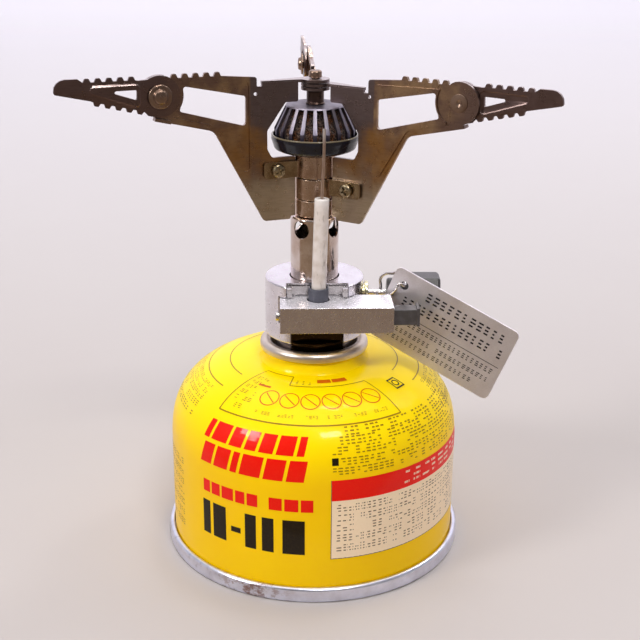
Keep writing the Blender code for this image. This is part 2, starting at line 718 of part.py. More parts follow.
def make_support(side, spec, blanks):
    axis = axis_empty(side + "_support_axis", spec["azimuth"])
    holes = [window_outline(), circle(PIVOT, RIVET_R + 0.25, 14)]
    holes += [circle((SCREW_RADIUS, spec["screw_z"]), 1.15, 10), circle((17.6, 137.6), 0.5, 8)]
    blank = sheet([plate_outline(spec["ear_z"])] + holes, PLATE_T)
    plate = place(side + "_support_plate", blank, "heat_tinted_steel", axis, upright())
    ear_middle = spec["ear_z"] + EAR_T / 2
    ear = sheet([ear_outline(spec["ear_side"]), circle((0, 0), 1.3, 12)], EAR_T)
    join(plate, helper(ear, axis, at(0, 0, ear_middle)))
    slope = Matrix.Rotation(math.radians(-ARM_SLOPE), 4, "Y")
    tab = block((-4.2, -0.4, -TAB_FAR + 0.03), (0.27, 2.2, -TAB_NEAR))
    join(plate, helper(tab, axis, at(PIVOT[0], 0, PIVOT[1]) @ slope))

    low, high = spec["band_z"]
    ring = [(5.0, high), (5.7, high), (5.7, low), (5.0, low)]
    band = place(side + "_hinge_band", turned(ring, 20), "copper_tinted_steel", axis)
    leaf_low, leaf_high = spec["leaf_z"]
    for edge in (-1.5, 0.8):
        leaf = block((5.25, edge, leaf_low), (15.6, edge + 0.7, leaf_high))
        join(band, helper(leaf, axis))
    cut(band, helper(block((3.0, -0.8, low - 1), (8.0, 0.8, high + 1)), axis))
    screw_line = at(SCREW_RADIUS, 0, spec["screw_z"]) @ along((0, spec["screw_side"], 0))
    cut(band, helper(rod(1.15, 10.0, 12), axis, screw_line @ at(0, 0, -5)))

    nut_line = at(SCREW_RADIUS, 0, spec["screw_z"]) @ along((0, -spec["screw_side"], 0))
    rivet_line = at(PIVOT[0], 0, PIVOT[1]) @ along((0, 1, 0))
    arm_plane = at(0, ARM_OFFSET, 0) @ upright()
    place(side + "_outer_arm", blanks["outer_arm"], "heat_tinted_steel", axis, arm_plane)
    place(side + "_hinge_screw", blanks["hinge_screw"], "spring_steel", axis, screw_line)
    place(side + "_hinge_nut", blanks["hinge_nut"], "spring_steel", axis, nut_line)
    place(side + "_arm_rivet", blanks["arm_rivet"], "heat_tinted_steel", axis, rivet_line)


# ---------------------------------------------------------------- build


clear_scene()
parts = new_collection(OBJECT_NAME)
cutters = new_collection("cutters")
cutters.hide_render = True
make_materials()

make_canister()
make_canister_valve()
make_adapter()
igniter_axis = axis_empty("igniter_axis", IGNITER_TURN)
make_housing(igniter_axis)
make_mixing_tube()
make_head()
make_valve()
make_igniter(igniter_axis)
make_electrode()
make_tag()
shared = support_blanks()
for side, spec in SUPPORTS.items():
    make_support(side, spec, shared)
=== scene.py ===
"""Looks of the folding canister stove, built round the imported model.

Lengths are millimetres in the model's own frame: +Z up, the canister's axis at X = Y = 0, and the
front at -Y. in_metres() scales every shape once, where it becomes mesh data.
"""

import json
import math
import random

import bmesh
import bpy
from mathutils import Matrix, Vector


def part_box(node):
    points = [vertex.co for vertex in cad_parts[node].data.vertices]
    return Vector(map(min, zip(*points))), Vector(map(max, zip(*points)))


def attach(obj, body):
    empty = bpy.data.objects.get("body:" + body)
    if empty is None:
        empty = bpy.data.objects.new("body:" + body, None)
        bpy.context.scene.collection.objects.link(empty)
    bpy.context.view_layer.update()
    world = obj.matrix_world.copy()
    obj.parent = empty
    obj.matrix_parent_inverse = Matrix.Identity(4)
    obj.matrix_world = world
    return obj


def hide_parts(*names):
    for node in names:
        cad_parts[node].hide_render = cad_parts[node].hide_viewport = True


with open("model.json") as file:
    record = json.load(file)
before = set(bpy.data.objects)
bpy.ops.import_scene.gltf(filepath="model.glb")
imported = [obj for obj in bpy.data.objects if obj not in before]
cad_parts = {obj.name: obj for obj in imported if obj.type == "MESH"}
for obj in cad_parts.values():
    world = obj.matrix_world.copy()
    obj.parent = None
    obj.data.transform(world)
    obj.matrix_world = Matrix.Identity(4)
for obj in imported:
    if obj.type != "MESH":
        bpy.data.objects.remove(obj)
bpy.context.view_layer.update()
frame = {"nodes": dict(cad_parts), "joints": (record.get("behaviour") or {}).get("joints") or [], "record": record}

YELLOW = (0.97, 0.60, 0.0, 1.0)
YELLOW_DEEP = (0.95, 0.57, 0.0, 1.0)
# Lighter yellow: a painted highlight towards the top of the dome, and also the colour of the scuffs
YELLOW_SHEEN_AND_SCUFF = (0.98, 0.75, 0.0, 1.0)

MM = 0.001
WELD = 2e-6
PER_METRE = 1000.0

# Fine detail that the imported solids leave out
ROUND = 96
FINE_ROUND = 180
PRINT_LIFT = 0.05
PRINT_EDGE = 0.32
EDGE = 0.15
HARD_EDGE = 38

# Canister profile, with the sizes that its box doesn't give
DOME_TOP_Z = 58.1
WALL_TOP_Z = 33.3
DOME_ROUND_R = 2.31
DOME_ROUND_Z = 2.62
NECK_R = 16.4
COLLAR_R = 14.45
COLLAR_Z = 62.7
COLLAR_TUBE_R = 1.7

# The burner's body, head and wires
CROWN_SLOTS = 20
VALVE_Z = 78.2
WIRE_R = 0.45
IGNITER_TURN = 2.0

# Pot supports: the ear's height, its side, and the side of the hinge screw's head
SUPPORTS = {
    "left": {"ear_z": 140.2, "ear_side": -1, "screw_side": 1},
    "right": {"ear_z": 139.1, "ear_side": 1, "screw_side": -1},
    "rear": {"ear_z": 138.0, "ear_side": -1, "screw_side": 1},
}
HINGE_SCREW_R = 11.5
HINGE_HOLE_R = 1.15
RIVET_HOLE_R = 1.75
LOBE_R = 5.63
ARM_SLOPE = 13.4
TOOTH_HALF = (0.55, 1.0)
TOOTH_ROUND = 0.42
PANEL_STEP = 0.4
LEDGE_W = 0.6
TAB_NEAR = 5.85
TAB_FAR = 6.75
EAR_R = 4.0
EAR_T = 0.8
PLATE_T = 1.0
ARM_T = 0.9

# Camera: where it stands, and how it is turned
CAMERA_PLACE = (0.0, -341.44, 195.36)
CAMERA_PITCH = 0.353876
CAMERA_PAN = 0.005165
CAMERA_ROLL = 0.007184
CAMERA_LENS = 68.47

LIGHT_AIM = Vector((0.0, 0.0, 0.08))
HERE = Matrix()

node_body = {node: body for body, nodes in frame["record"]["behaviour"]["bodies"].items() for node in nodes}
joint_of = {joint["name"]: joint for joint in frame["joints"]}
looks = {}


def box_mm(node):
    low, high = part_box(node)
    return low * PER_METRE, high * PER_METRE


def radius_of(node):
    """Reach of a node along +X: the radius of a round one on the main axis."""
    return box_mm(node)[1].x


# ---------------------------------------------------------------- outlines


def arc(centre, radius, start, end, steps):
    """Points along an arc, from the start angle to the end angle in degrees."""
    angles = [math.radians(start + (end - start) * k / steps) for k in range(steps + 1)]
    return [(centre[0] + radius * math.cos(a), centre[1] + radius * math.sin(a)) for a in angles]


def unrounded(points):
    """Plain points as corners without any rounding."""
    return [(x, y, 0) for x, y in points]


def circle(centre, radius, steps):
    return arc(centre, radius, 0.0, 360.0, steps)[:-1]


def rounded(corners, steps=4):
    """An outline through (x, y, radius) corners, each turned into an arc that meets both sides."""
    points = []
    for i, (x, y, radius) in enumerate(corners):
        here = Vector((x, y))
        if radius == 0:
            points.append((x, y))
            continue
        back = (Vector(corners[i - 1][:2]) - here).normalized()
        ahead = (Vector(corners[(i + 1) % len(corners)][:2]) - here).normalized()
        half = back.angle(ahead) / 2
        centre = here + (back + ahead).normalized() * (radius / math.sin(half))
        start = here + back * (radius / math.tan(half)) - centre
        sweep = math.pi - 2 * half
        if back.x * ahead.y - back.y * ahead.x > 0:
            sweep = -sweep
        for k in range(steps + 1):
            turn = Matrix.Rotation(sweep * k / steps, 2)
            points.append(tuple(centre + turn @ start))
    return points


def teeth(first, pitch, count, valley, top):
    """Corners of a row of rounded teeth along +X, from the first tooth's centre."""
    corners = []
    for k in range(count):
        x = first + k * pitch
        corners += [(x - TOOTH_HALF[1], valley, 0.2), (x - TOOTH_HALF[0], top, TOOTH_ROUND)]
        corners += [(x + TOOTH_HALF[0], top, TOOTH_ROUND), (x + TOOTH_HALF[1], valley, 0.2)]
    return corners


# ---------------------------------------------------------------- meshes


def as_mesh(shape, name):
    """Mesh data of an edited shape, which is then freed."""
    mesh = bpy.data.meshes.new(name)
    shape.to_mesh(mesh)
    shape.free()
    return mesh


def in_metres(mesh):
    mesh.transform(Matrix.Scale(MM, 4))
    return mesh


def placed(name, data):
    """A new object in the scene."""
    obj = bpy.data.objects.new(name, data)
    bpy.context.scene.collection.objects.link(obj)
    return obj


def tidy(mesh):
    """Weld the seams, face everything outwards and mark the hard edges."""
    shape = bmesh.new()
    shape.from_mesh(mesh)
    bmesh.ops.remove_doubles(shape, verts=shape.verts, dist=WELD)
    bmesh.ops.recalc_face_normals(shape, faces=shape.faces)
    shape.to_mesh(mesh)
    shape.free()
    mesh.shade_smooth()
    mesh.set_sharp_from_angle(angle=math.radians(HARD_EDGE))
    return mesh


def helper(data, matrix=HERE):
    """A loose object that only lends its shape."""
    obj = placed("helper", data)
    obj.matrix_world = matrix
    return obj


def bake(source):
    """The evaluated mesh of a helper, which is then removed."""
    bpy.context.view_layer.update()
    graph = bpy.context.evaluated_depsgraph_get()
    mesh = bpy.data.meshes.new_from_object(source.evaluated_get(graph))
    mesh.transform(source.matrix_world)
    bpy.data.objects.remove(source, do_unlink=True)
    return tidy(mesh)


def turned(outline, segments=ROUND):
    """Mesh of a profile of (radius, height) points turned about Z. It closes on itself off the axis."""
    shape = bmesh.new()
    verts = [shape.verts.new((x, 0.0, z)) for x, z in outline]
    for first, second in zip(verts, verts[1:]):
        shape.edges.new((first, second))
    if outline[0][0] > 0:
        shape.edges.new((verts[-1], verts[0]))
    source = helper(in_metres(as_mesh(shape, "turned")))
    screw = source.modifiers.new("Screw", "SCREW")
    screw.steps = segments
    screw.render_steps = segments
    screw.use_merge_vertices = True
    screw.merge_threshold = WELD
    return bake(source)


def lathe(corners, segments=ROUND, steps=4):
    """A turned mesh from (radius, height, rounding) corners."""
    return turned(rounded(corners, steps), segments)


def rod(radius, length, segments=48):
    """Mesh of a cylinder from the origin along +Z."""
    return turned([(0, length), (radius, length), (radius, 0), (0, 0)], segments)


def sheet(outlines, thickness):
    """Mesh of a flat blank in XY, centred on Z = 0: the first outline is its edge, the rest are holes."""
    curve = bpy.data.curves.new("sheet", "CURVE")
    curve.dimensions = "2D"
    curve.fill_mode = "BOTH"
    curve.extrude = thickness * MM / 2
    for outline in outlines:
        spline = curve.splines.new("POLY")
        spline.points.add(len(outline) - 1)
        for point, (x, y) in zip(spline.points, outline):
            point.co = (x * MM, y * MM, 0.0, 1.0)
        spline.use_cyclic_u = True
    return bake(helper(curve))


def block(low, high):
    """Mesh of a box between two corners."""
    shape = bmesh.new()
    bmesh.ops.create_cube(shape, size=1.0)
    size = [b - a for a, b in zip(low, high)]
    middle = [(a + b) / 2 for a, b in zip(low, high)]
    bmesh.ops.transform(shape, matrix=Matrix.Diagonal((*size, 1.0)), verts=shape.verts)
    bmesh.ops.translate(shape, vec=middle, verts=shape.verts)
    return tidy(in_metres(as_mesh(shape, "block")))


def wire(points, radius, looped=False):
    """Mesh of a round wire through the points: straight between them, or a smooth closed loop."""
    curve = bpy.data.curves.new("wire", "CURVE")
    curve.dimensions = "3D"
    curve.bevel_depth = radius * MM
    curve.bevel_resolution = 3
    curve.use_fill_caps = not looped
    if looped:
        spline = curve.splines.new("BEZIER")
        spline.bezier_points.add(len(points) - 1)
        for point, position in zip(spline.bezier_points, points):
            point.co = Vector(position) * MM
            point.handle_left_type = "AUTO"
            point.handle_right_type = "AUTO"
        curve.resolution_u = 10
    else:
        spline = curve.splines.new("POLY")
        spline.points.add(len(points) - 1)
        for point, position in zip(spline.points, points):
            point.co = (*(Vector(position) * MM), 1.0)
    spline.use_cyclic_u = looped
    return bake(helper(curve))


def combined(mesh, operation, *others):
    """Mesh data joined with, or cut by, (mesh, matrix) pairs."""
    source = helper(mesh)
    tools = []
    for other, matrix in others:
        tool = helper(other, matrix)
        tools.append(tool)
        modifier = source.modifiers.new("Boolean", "BOOLEAN")
        modifier.operation = operation
        modifier.object = tool
    result = bake(source)
    for tool in tools:
        bpy.data.objects.remove(tool, do_unlink=True)
    return result


def cut(mesh, *others):
    return combined(mesh, "DIFFERENCE", *others)


def joined(mesh, *others):
    return combined(mesh, "UNION", *others)


def crossed(screw, reach, half, low, high):
    """A screw with a cross cut into its head."""
    bars = [block((-x, -y, low), (x, y, high)) for x, y in ((reach, half), (half, reach))]
    return cut(screw, *[(bar, HERE) for bar in bars])


def softened(mesh, width, segments, angle):
    """Mesh data with its hard edges rounded over."""
    source = helper(mesh)
    bevel = source.modifiers.new("Bevel", "BEVEL")
    bevel.width = width * MM
    bevel.segments = segments
    bevel.limit_method = "ANGLE"
    bevel.angle_limit = math.radians(angle)
    bevel.use_clamp_overlap = True
    bevel.miter_outer = "MITER_ARC"
    return bake(source)


def moved(mesh, matrix):
    mesh.transform(matrix)
    return mesh


def at(x=0.0, y=0.0, z=0.0):
    return Matrix.Translation(Vector((x, y, z)) * MM)


def along(axis):
    """Turns a shape that lies along +Z to lie along another axis."""
    return Vector((0, 0, 1)).rotation_difference(Vector(axis)).to_matrix().to_4x4()


def turn_z(degrees):
    return Matrix.Rotation(math.radians(degrees), 4, "Z")


def upright():
    """Turns a blank drawn in XY into the plane of a support: X outwards, Y up."""
    return Matrix.Rotation(math.radians(90), 4, "X")


def piece(name, mesh, look, node, replaces=True):
    """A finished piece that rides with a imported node, and stands for it unless it only adds to it."""
    mesh.materials.clear()
    mesh.materials.append(looks[look])
    obj = placed(name, mesh)
    weighted = obj.modifiers.new("Weighted normals", "WEIGHTED_NORMAL")
    weighted.keep_sharp = True
    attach(obj, node_body[node])
    if replaces:
        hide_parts(node)
    return obj


# ---------------------------------------------------------------- materials


def srgb(red, green, blue):
    """A colour from its 0 to 255 display values."""
    def linear(value):
        value /= 255.0
        return value / 12.92 if value <= 0.04045 else ((value + 0.055) / 1.055) ** 2.4
    return (linear(red), linear(green), linear(blue), 1.0)


class Look:
    """A Principled material with a few words for its node tree. Positions in it are millimetres."""

    def __init__(self, name, **sockets):
        self.material = bpy.data.materials.new(name)
        self.material.use_nodes = True
        self.tree = self.material.node_tree
        self.shader = self.tree.nodes["Principled BSDF"]
        for socket, value in sockets.items():
            self.shader.inputs[socket.replace("_", " ")].default_value = value
        place = self.tree.nodes.new("ShaderNodeTexCoord")
        scaled = self.node("ShaderNodeVectorMath", {0: place.outputs["Object"]}, operation="SCALE")
        scaled.inputs["Scale"].default_value = PER_METRE
        self.place = scaled.outputs[0]
        self.facing = self.node("ShaderNodeSeparateXYZ", {0: place.outputs["Normal"]}).outputs
        looks[name] = self.material

    def node(self, kind, inputs, **settings):
        made = self.tree.nodes.new(kind)
        for name, value in settings.items():
            setattr(made, name, value)
        for key, value in inputs.items():
            if isinstance(value, bpy.types.NodeSocket):
                self.tree.links.new(value, made.inputs[key])
            else:
                made.inputs[key].default_value = value
        return made

    def axes(self):
        return self.node("ShaderNodeSeparateXYZ", {0: self.place}).outputs

    def maths(self, operation, first, second=0.0):
        return self.node("ShaderNodeMath", {0: first, 1: second}, operation=operation).outputs[0]

    def times(self, first, second):
        return self.maths("MULTIPLY", first, second)

    def stretched(self, x, y, z):
        inputs = {0: self.place, 1: (x, y, z)}
        return self.node("ShaderNodeVectorMath", inputs, operation="MULTIPLY").outputs[0]

    def radius(self):
        x, y, _ = self.axes()
        return self.maths("SQRT", self.maths("ADD", self.times(x, x), self.times(y, y)))

    def round_place(self, around):
        """Coordinates of a turned surface: radius, height, and a share of the angle."""
        x, y, z = self.axes()
        angle = self.times(self.maths("ARCTAN2", y, x), around)
        return self.node("ShaderNodeCombineXYZ", {0: self.radius(), 1: z, 2: angle}).outputs[0]

    def noise(self, scale, detail=3.0, roughness=0.55, place=None):
        inputs = {"Vector": place or self.place, "Scale": scale, "Detail": detail, "Roughness": roughness}
        return self.node("ShaderNodeTexNoise", inputs).outputs["Fac"]

    def ranged(self, value, low, high, to_low=0.0, to_high=1.0, smooth=False):
        inputs = {0: value, 1: low, 2: high, 3: to_low, 4: to_high}
        kind = "SMOOTHSTEP" if smooth else "LINEAR"
        return self.node("ShaderNodeMapRange", inputs, interpolation_type=kind).outputs[0]

    def mixed(self, factor, first, second):
        """A colour between the first, at 0, and the second, at 1."""
        return self.node("ShaderNodeMix", {0: factor, 6: first, 7: second}, data_type="RGBA").outputs[2]

    def drive(self, name, socket):
        self.tree.links.new(socket, self.shader.inputs[name])

    def driven_by(self, name):
        """What drives one of the shader's inputs so far."""
        return self.shader.inputs[name].links[0].from_socket

    def colour(self, socket):
        self.drive("Base Color", socket)

    def tint(self, factor, colour):
        """Lays a colour over what drives the base colour so far."""
        self.colour(self.mixed(factor, self.driven_by("Base Color"), colour))

    def rough(self, socket):
        self.drive("Roughness", socket)

    def bump(self, height, depth):
        """Surface relief: height 0 to 1 over a depth in millimetres. Calls add up."""
        inputs = {"Height": height, "Distance": depth * MM, "Strength": 1.0}
        if self.shader.inputs["Normal"].is_linked:
            inputs["Normal"] = self.driven_by("Normal")
        self.drive("Normal", self.node("ShaderNodeBump", inputs).outputs[0])


def make_paint():
    look = Look("yellow_lacquer", Roughness=0.36, Coat_Weight=0.2, Coat_Roughness=0.05,
                Specular_IOR_Level=0.06)
    cloud = look.noise(0.05, 2.0)
    shade = look.mixed(look.ranged(cloud, 0.35, 0.65), YELLOW, YELLOW_DEEP)
    z = look.axes()[2]
    # Painted highlight: the dome turns lighter yellow towards its top
    shade = look.mixed(look.ranged(z, 34.0, 50.0, 0.0, 0.7, smooth=True), shade, YELLOW_SHEEN_AND_SCUFF)
    scuffs = look.ranged(look.noise(1.3, 2.0, 0.5, look.stretched(0.5, 0.5, 3.0)), 0.72, 0.8)
    shade = look.mixed(look.times(scuffs, 0.1), shade, YELLOW_SHEEN_AND_SCUFF)
    look.colour(shade)
    look.rough(look.ranged(look.noise(0.3), 0.3, 0.7, 0.28, 0.38))
    look.bump(look.noise(0.5, 2.0), 0.004)


def make_print(name, colour, faded, wear):
    look = Look(name, Roughness=0.4, Coat_Weight=0.25, Coat_Roughness=0.06, Specular_IOR_Level=0.1)
    wear_and_sheen = look.ranged(look.noise(1.6, 4.0), 0.45, 0.75)
    look.colour(look.mixed(look.times(wear_and_sheen, wear), colour, faded))
    look.bump(look.noise(0.5, 2.0), 0.004)


def make_tinplate():
    """Bright steel of the canister's foot rim, with spots and some rust on the side that wears."""
    look = Look("bright_tinplate", Metallic=1.0, Roughness=0.25)
    x, y, z = look.axes()
    shade = look.mixed(look.ranged(look.noise(0.2, 3.0), 0.35, 0.7), srgb(232, 234, 250), srgb(212, 212, 226))
    worn_side = look.times(look.ranged(x, 12.0, -18.0), look.ranged(z, 7.0, 4.6))
    spots = look.ranged(look.noise(0.4, 5.0, 0.6), 0.58, 0.68)
    spots = look.times(spots, worn_side)
    shade = look.mixed(look.times(spots, 0.25), shade, srgb(120, 116, 132))
    rust = look.ranged(look.noise(0.3, 6.0, 0.7, look.stretched(1.0, 1.0, 1.6)), 0.5, 0.6)
    patch = look.times(look.ranged(x, -4.0, -12.0), look.ranged(x, -30.0, -20.0))
    patch = look.times(patch, look.ranged(y, -30.0, -36.0))
    rust = look.times(look.times(rust, patch), worn_side)
    look.colour(look.mixed(look.times(rust, 0.85), shade, srgb(134, 92, 76)))
    grain = look.noise(1.2, 4.0)
    rough = look.maths("ADD", grain, look.times(spots, 0.5))
    look.rough(look.ranged(rough, 0.3, 1.2, 0.28, 0.38))
    look.bump(look.noise(0.35, 2.0), 0.004)
    look.bump(look.noise(2.0, 2.0, 0.5, look.round_place(0.6)), 0.001)


def make_turned_metal(name, light, dark, roughness, depth=0.0012, stain=None, nicks=0.003):
    """Turned and satin-polished metal, with fine rings, soft stains and a few nicks."""
    look = Look(name, Metallic=1.0, Roughness=roughness)
    rings = look.noise(2.4, 2.0, 0.5, look.round_place(0.15))
    shade = look.mixed(look.ranged(look.noise(0.16, 3.0), 0.35, 0.68), light, dark)
    shade = look.mixed(look.ranged(rings, 0.4, 0.75, 0.0, 0.18), shade, dark)
    if stain is not None:
        shade = look.mixed(look.ranged(look.noise(0.3, 4.0, 0.6), 0.56, 0.78, 0.0, 0.5), shade, stain)
    look.colour(shade)
    look.rough(look.ranged(look.noise(0.7, 3.0), 0.3, 0.75, roughness - 0.05, roughness + 0.09))
    look.bump(rings, depth)
    look.bump(look.ranged(look.noise(0.7, 2.0), 0.6, 0.8), nicks)
    return look


def make_body_alloy():
    """Satin alloy of the burner's base, with painted shade that darkens the inside of the slot under the igniter.
    """
    light, dark = srgb(236, 232, 238), srgb(222, 216, 220)
    look = make_turned_metal("satin_alloy", light, dark, 0.22, stain=srgb(204, 190, 178))
    x, y, z = look.axes()
    # Painted shade: the faces inside the slot under the igniter are darkened
    inside = look.times(look.ranged(y, -14.2, -13.4), look.ranged(y, -3.0, -8.0))
    inside = look.times(inside, look.ranged(z, 74.4, 73.9))
    narrow = look.ranged(look.maths("ABSOLUTE", look.maths("SUBTRACT", x, 0.9)), 7.9, 7.5)
    inside = look.times(inside, narrow)
    look.tint(inside, srgb(54, 40, 22))


def make_case_alloy():
    """Smooth milled alloy of the igniter's case, with a painted highlight on its upper faces, which are also less
    metallic.
    """
    look = make_turned_metal("case_alloy", srgb(208, 200, 200), srgb(198, 188, 188), 0.24, 0.0, nicks=0.001)
    # Painted highlight: faces that point up are lightened and made less metallic
    upper = look.ranged(look.facing[2], 0.2, 0.8)
    look.tint(upper, srgb(250, 246, 252))
    look.drive("Metallic", look.maths("SUBTRACT", 1.0, look.times(upper, 0.45)))


def make_crown_steel():
    """Lilac grey steel of the burner's crown, blued towards the feet of its ribs."""
    light, dark = srgb(150, 144, 156), srgb(122, 114, 126)
    look = make_turned_metal("crown_steel", light, dark, 0.42, stain=srgb(96, 82, 84))
    foot = look.ranged(look.axes()[2], 129.0, 126.0, 0.0, 0.85)
    look.tint(foot, srgb(56, 54, 78))


def make_spark_steel():
    """Brown wire of the electrode, with a painted highlight that turns its tip near white."""
    look = make_turned_metal("spark_steel", srgb(206, 184, 172), srgb(176, 152, 138), 0.34)
    # Painted highlight: the top of the wire goes near white
    tip = look.ranged(look.axes()[2], 125.0, 128.0)
    look.tint(tip, srgb(252, 246, 244))


def make_strap_steel():
    """Strap steel, tinted copper on its rings and olive brown on its leaves, with a painted highlight on the faces
    that point up or down.
    """
    light, dark = srgb(200, 176, 158), srgb(174, 146, 126)
    look = make_turned_metal("strap_steel", light, dark, 0.22, stain=srgb(130, 102, 82))
    before = look.driven_by("Base Color")
    leaf = look.mixed(look.ranged(look.noise(0.3, 3.0), 0.4, 0.65), srgb(160, 140, 112), srgb(134, 112, 84))
    shade = look.mixed(look.ranged(look.radius(), 5.7, 6.1), before, leaf)
    # Painted highlight: faces that point up or down are lightened
    edges = look.ranged(look.maths("ABSOLUTE", look.facing[2]), 0.3, 0.8)
    look.colour(look.mixed(edges, shade, srgb(226, 206, 190)))


def make_heat_steel(name, near, far, gold, low, tip, warm):
    """Stamped steel, blued near the flame and browned outside its fold, with grain; a painted reflection of the
    floor makes it paler at its foot, and a painted highlight lightens faces that point up.
    """
    look = Look(name, Metallic=1.0, Roughness=0.3)
    radius = look.radius()
    z = look.axes()[2]
    cloud = look.noise(0.1, 4.0, 0.6)
    shift = look.ranged(cloud, 0.3, 0.7, -4.0, 4.0)
    outer = look.mixed(look.ranged(look.noise(0.14, 4.0), 0.4, 0.62, smooth=True), far, gold)
    shade = look.mixed(look.ranged(radius, 18.7, 19.7, smooth=True), near, outer)
    height = look.maths("ADD", z, shift)
    glow = look.times(look.ranged(height, 131.0, 124.0, smooth=True),
                      look.ranged(height, 108.0, 119.0, smooth=True))
    blush = look.times(glow, look.ranged(look.noise(0.11, 3.0), 0.35, 0.6, 0.35, 1.0))
    shade = look.mixed(blush, shade, warm)
    # Painted reflection of the floor: the colour given as low makes the foot paler
    shade = look.mixed(look.ranged(height, 121.0, 107.0, smooth=True), shade, low)
    reach = look.maths("ADD", radius, shift)
    shade = look.mixed(look.ranged(reach, 36.0, 48.0, smooth=True), shade, tip)
    grain = look.noise(0.9, 4.0, 0.6, look.stretched(0.3, 0.3, 3.2))
    shade = look.mixed(look.ranged(grain, 0.45, 0.8, 0.0, 0.25), shade, srgb(60, 48, 46))
    specks = look.ranged(look.noise(1.4, 5.0, 0.7), 0.62, 0.72)
    shade = look.mixed(look.times(specks, 0.3), shade, srgb(40, 32, 30))
    # Painted highlight: faces that point up are lighter
    wear_and_sheen = look.ranged(look.facing[2], 0.3, 0.9, 0.0, 0.75)
    look.colour(look.mixed(wear_and_sheen, shade, srgb(206, 194, 192)))
    look.rough(look.ranged(look.noise(0.5, 4.0), 0.3, 0.75, 0.24, 0.42))
    look.bump(grain, 0.003)
    look.bump(look.noise(0.25, 3.0), 0.02)


def make_enamel():
    look = Look("black_enamel", Roughness=0.16, Coat_Weight=0.15, Coat_Roughness=0.04,
                Specular_IOR_Level=0.35)
    z = look.axes()[2]
    soot = look.ranged(look.noise(0.5, 5.0), 0.4, 0.7)
    wear_and_sheen = look.times(look.ranged(z, 125.15, 125.4), look.ranged(z, 130.0, 129.0))
    shade = look.mixed(soot, srgb(22, 24, 34), srgb(14, 12, 16))
    look.colour(look.mixed(look.times(wear_and_sheen, 0.8), shade, srgb(120, 108, 84)))
    look.rough(look.ranged(soot, 0.0, 1.0, 0.1, 0.34))
    look.bump(look.noise(0.8, 3.0), 0.006)


def make_gauze():
    look = Look("burnt_mesh", Metallic=0.85, Roughness=0.5)
    threads = []
    for place, scale in ((look.round_place(11.0), 1.3), (look.place, 1.5)):
        inputs = {"Vector": place, "Scale": scale}
        threads.append(look.node("ShaderNodeTexWave", inputs, bands_direction="Z").outputs["Fac"])
    cloth = look.times(look.maths("ADD", *threads), 0.5)
    glow = look.mixed(look.ranged(look.noise(0.5, 3.0), 0.4, 0.6), srgb(214, 140, 84), srgb(206, 190, 180))
    speck = look.ranged(look.noise(2.2, 3.0, 0.7), 0.42, 0.62)
    shade = look.mixed(look.ranged(cloth, 0.3, 0.8), srgb(70, 44, 34), glow)
    look.colour(look.mixed(look.times(speck, 0.85), srgb(26, 16, 14), shade))
    look.bump(cloth, 0.12)


def make_ceramic():
    look = Look("glazed_ceramic", Roughness=0.25, Coat_Weight=0.4, Coat_Roughness=0.08)
    z = look.axes()[2]
    cloud = look.ranged(look.noise(0.35, 4.0), 0.4, 0.7)
    shade = look.mixed(cloud, srgb(222, 212, 206), srgb(204, 190, 180))
    shade = look.mixed(look.ranged(z, 106.0, 109.6, 0.0, 0.7), shade, srgb(244, 240, 238))
    marks = look.ranged(look.noise(0.9, 5.0, 0.7, look.stretched(1.0, 1.0, 0.22)), 0.6, 0.7)
    look.colour(look.mixed(look.times(marks, 0.75), shade, srgb(128, 116, 112)))
    look.bump(look.noise(0.9, 3.0), 0.006)


def make_plastic(name, light, dark, roughness):
    look = Look(name, Roughness=roughness, Specular_IOR_Level=0.5)
    grain = look.noise(4.0, 3.0)
    look.colour(look.mixed(look.ranged(look.noise(0.5, 4.0), 0.4, 0.7), light, dark))
    look.rough(look.ranged(grain, 0.3, 0.7, roughness - 0.06, roughness + 0.1))
    look.bump(grain, 0.004)


def make_tag_alloy():
    look = Look("tag_alloy", Metallic=0.85, Roughness=0.34)
    grain = look.noise(1.6, 4.0, 0.6, look.stretched(0.3, 3.0, 3.0))
    cloud = look.ranged(look.noise(0.12, 3.0), 0.35, 0.7)
    shade = look.mixed(cloud, srgb(238, 232, 236), srgb(222, 214, 216))
    shade = look.mixed(look.ranged(grain, 0.45, 0.8, 0.0, 0.25), shade, srgb(180, 168, 168))
    look.colour(shade)
    look.rough(look.ranged(grain, 0.3, 0.75, 0.28, 0.44))
    look.bump(grain, 0.004)
    look.bump(look.noise(0.12, 2.0), 0.06)
    look.bump(look.ranged(look.noise(1.0, 4.0), 0.64, 0.7), 0.006)


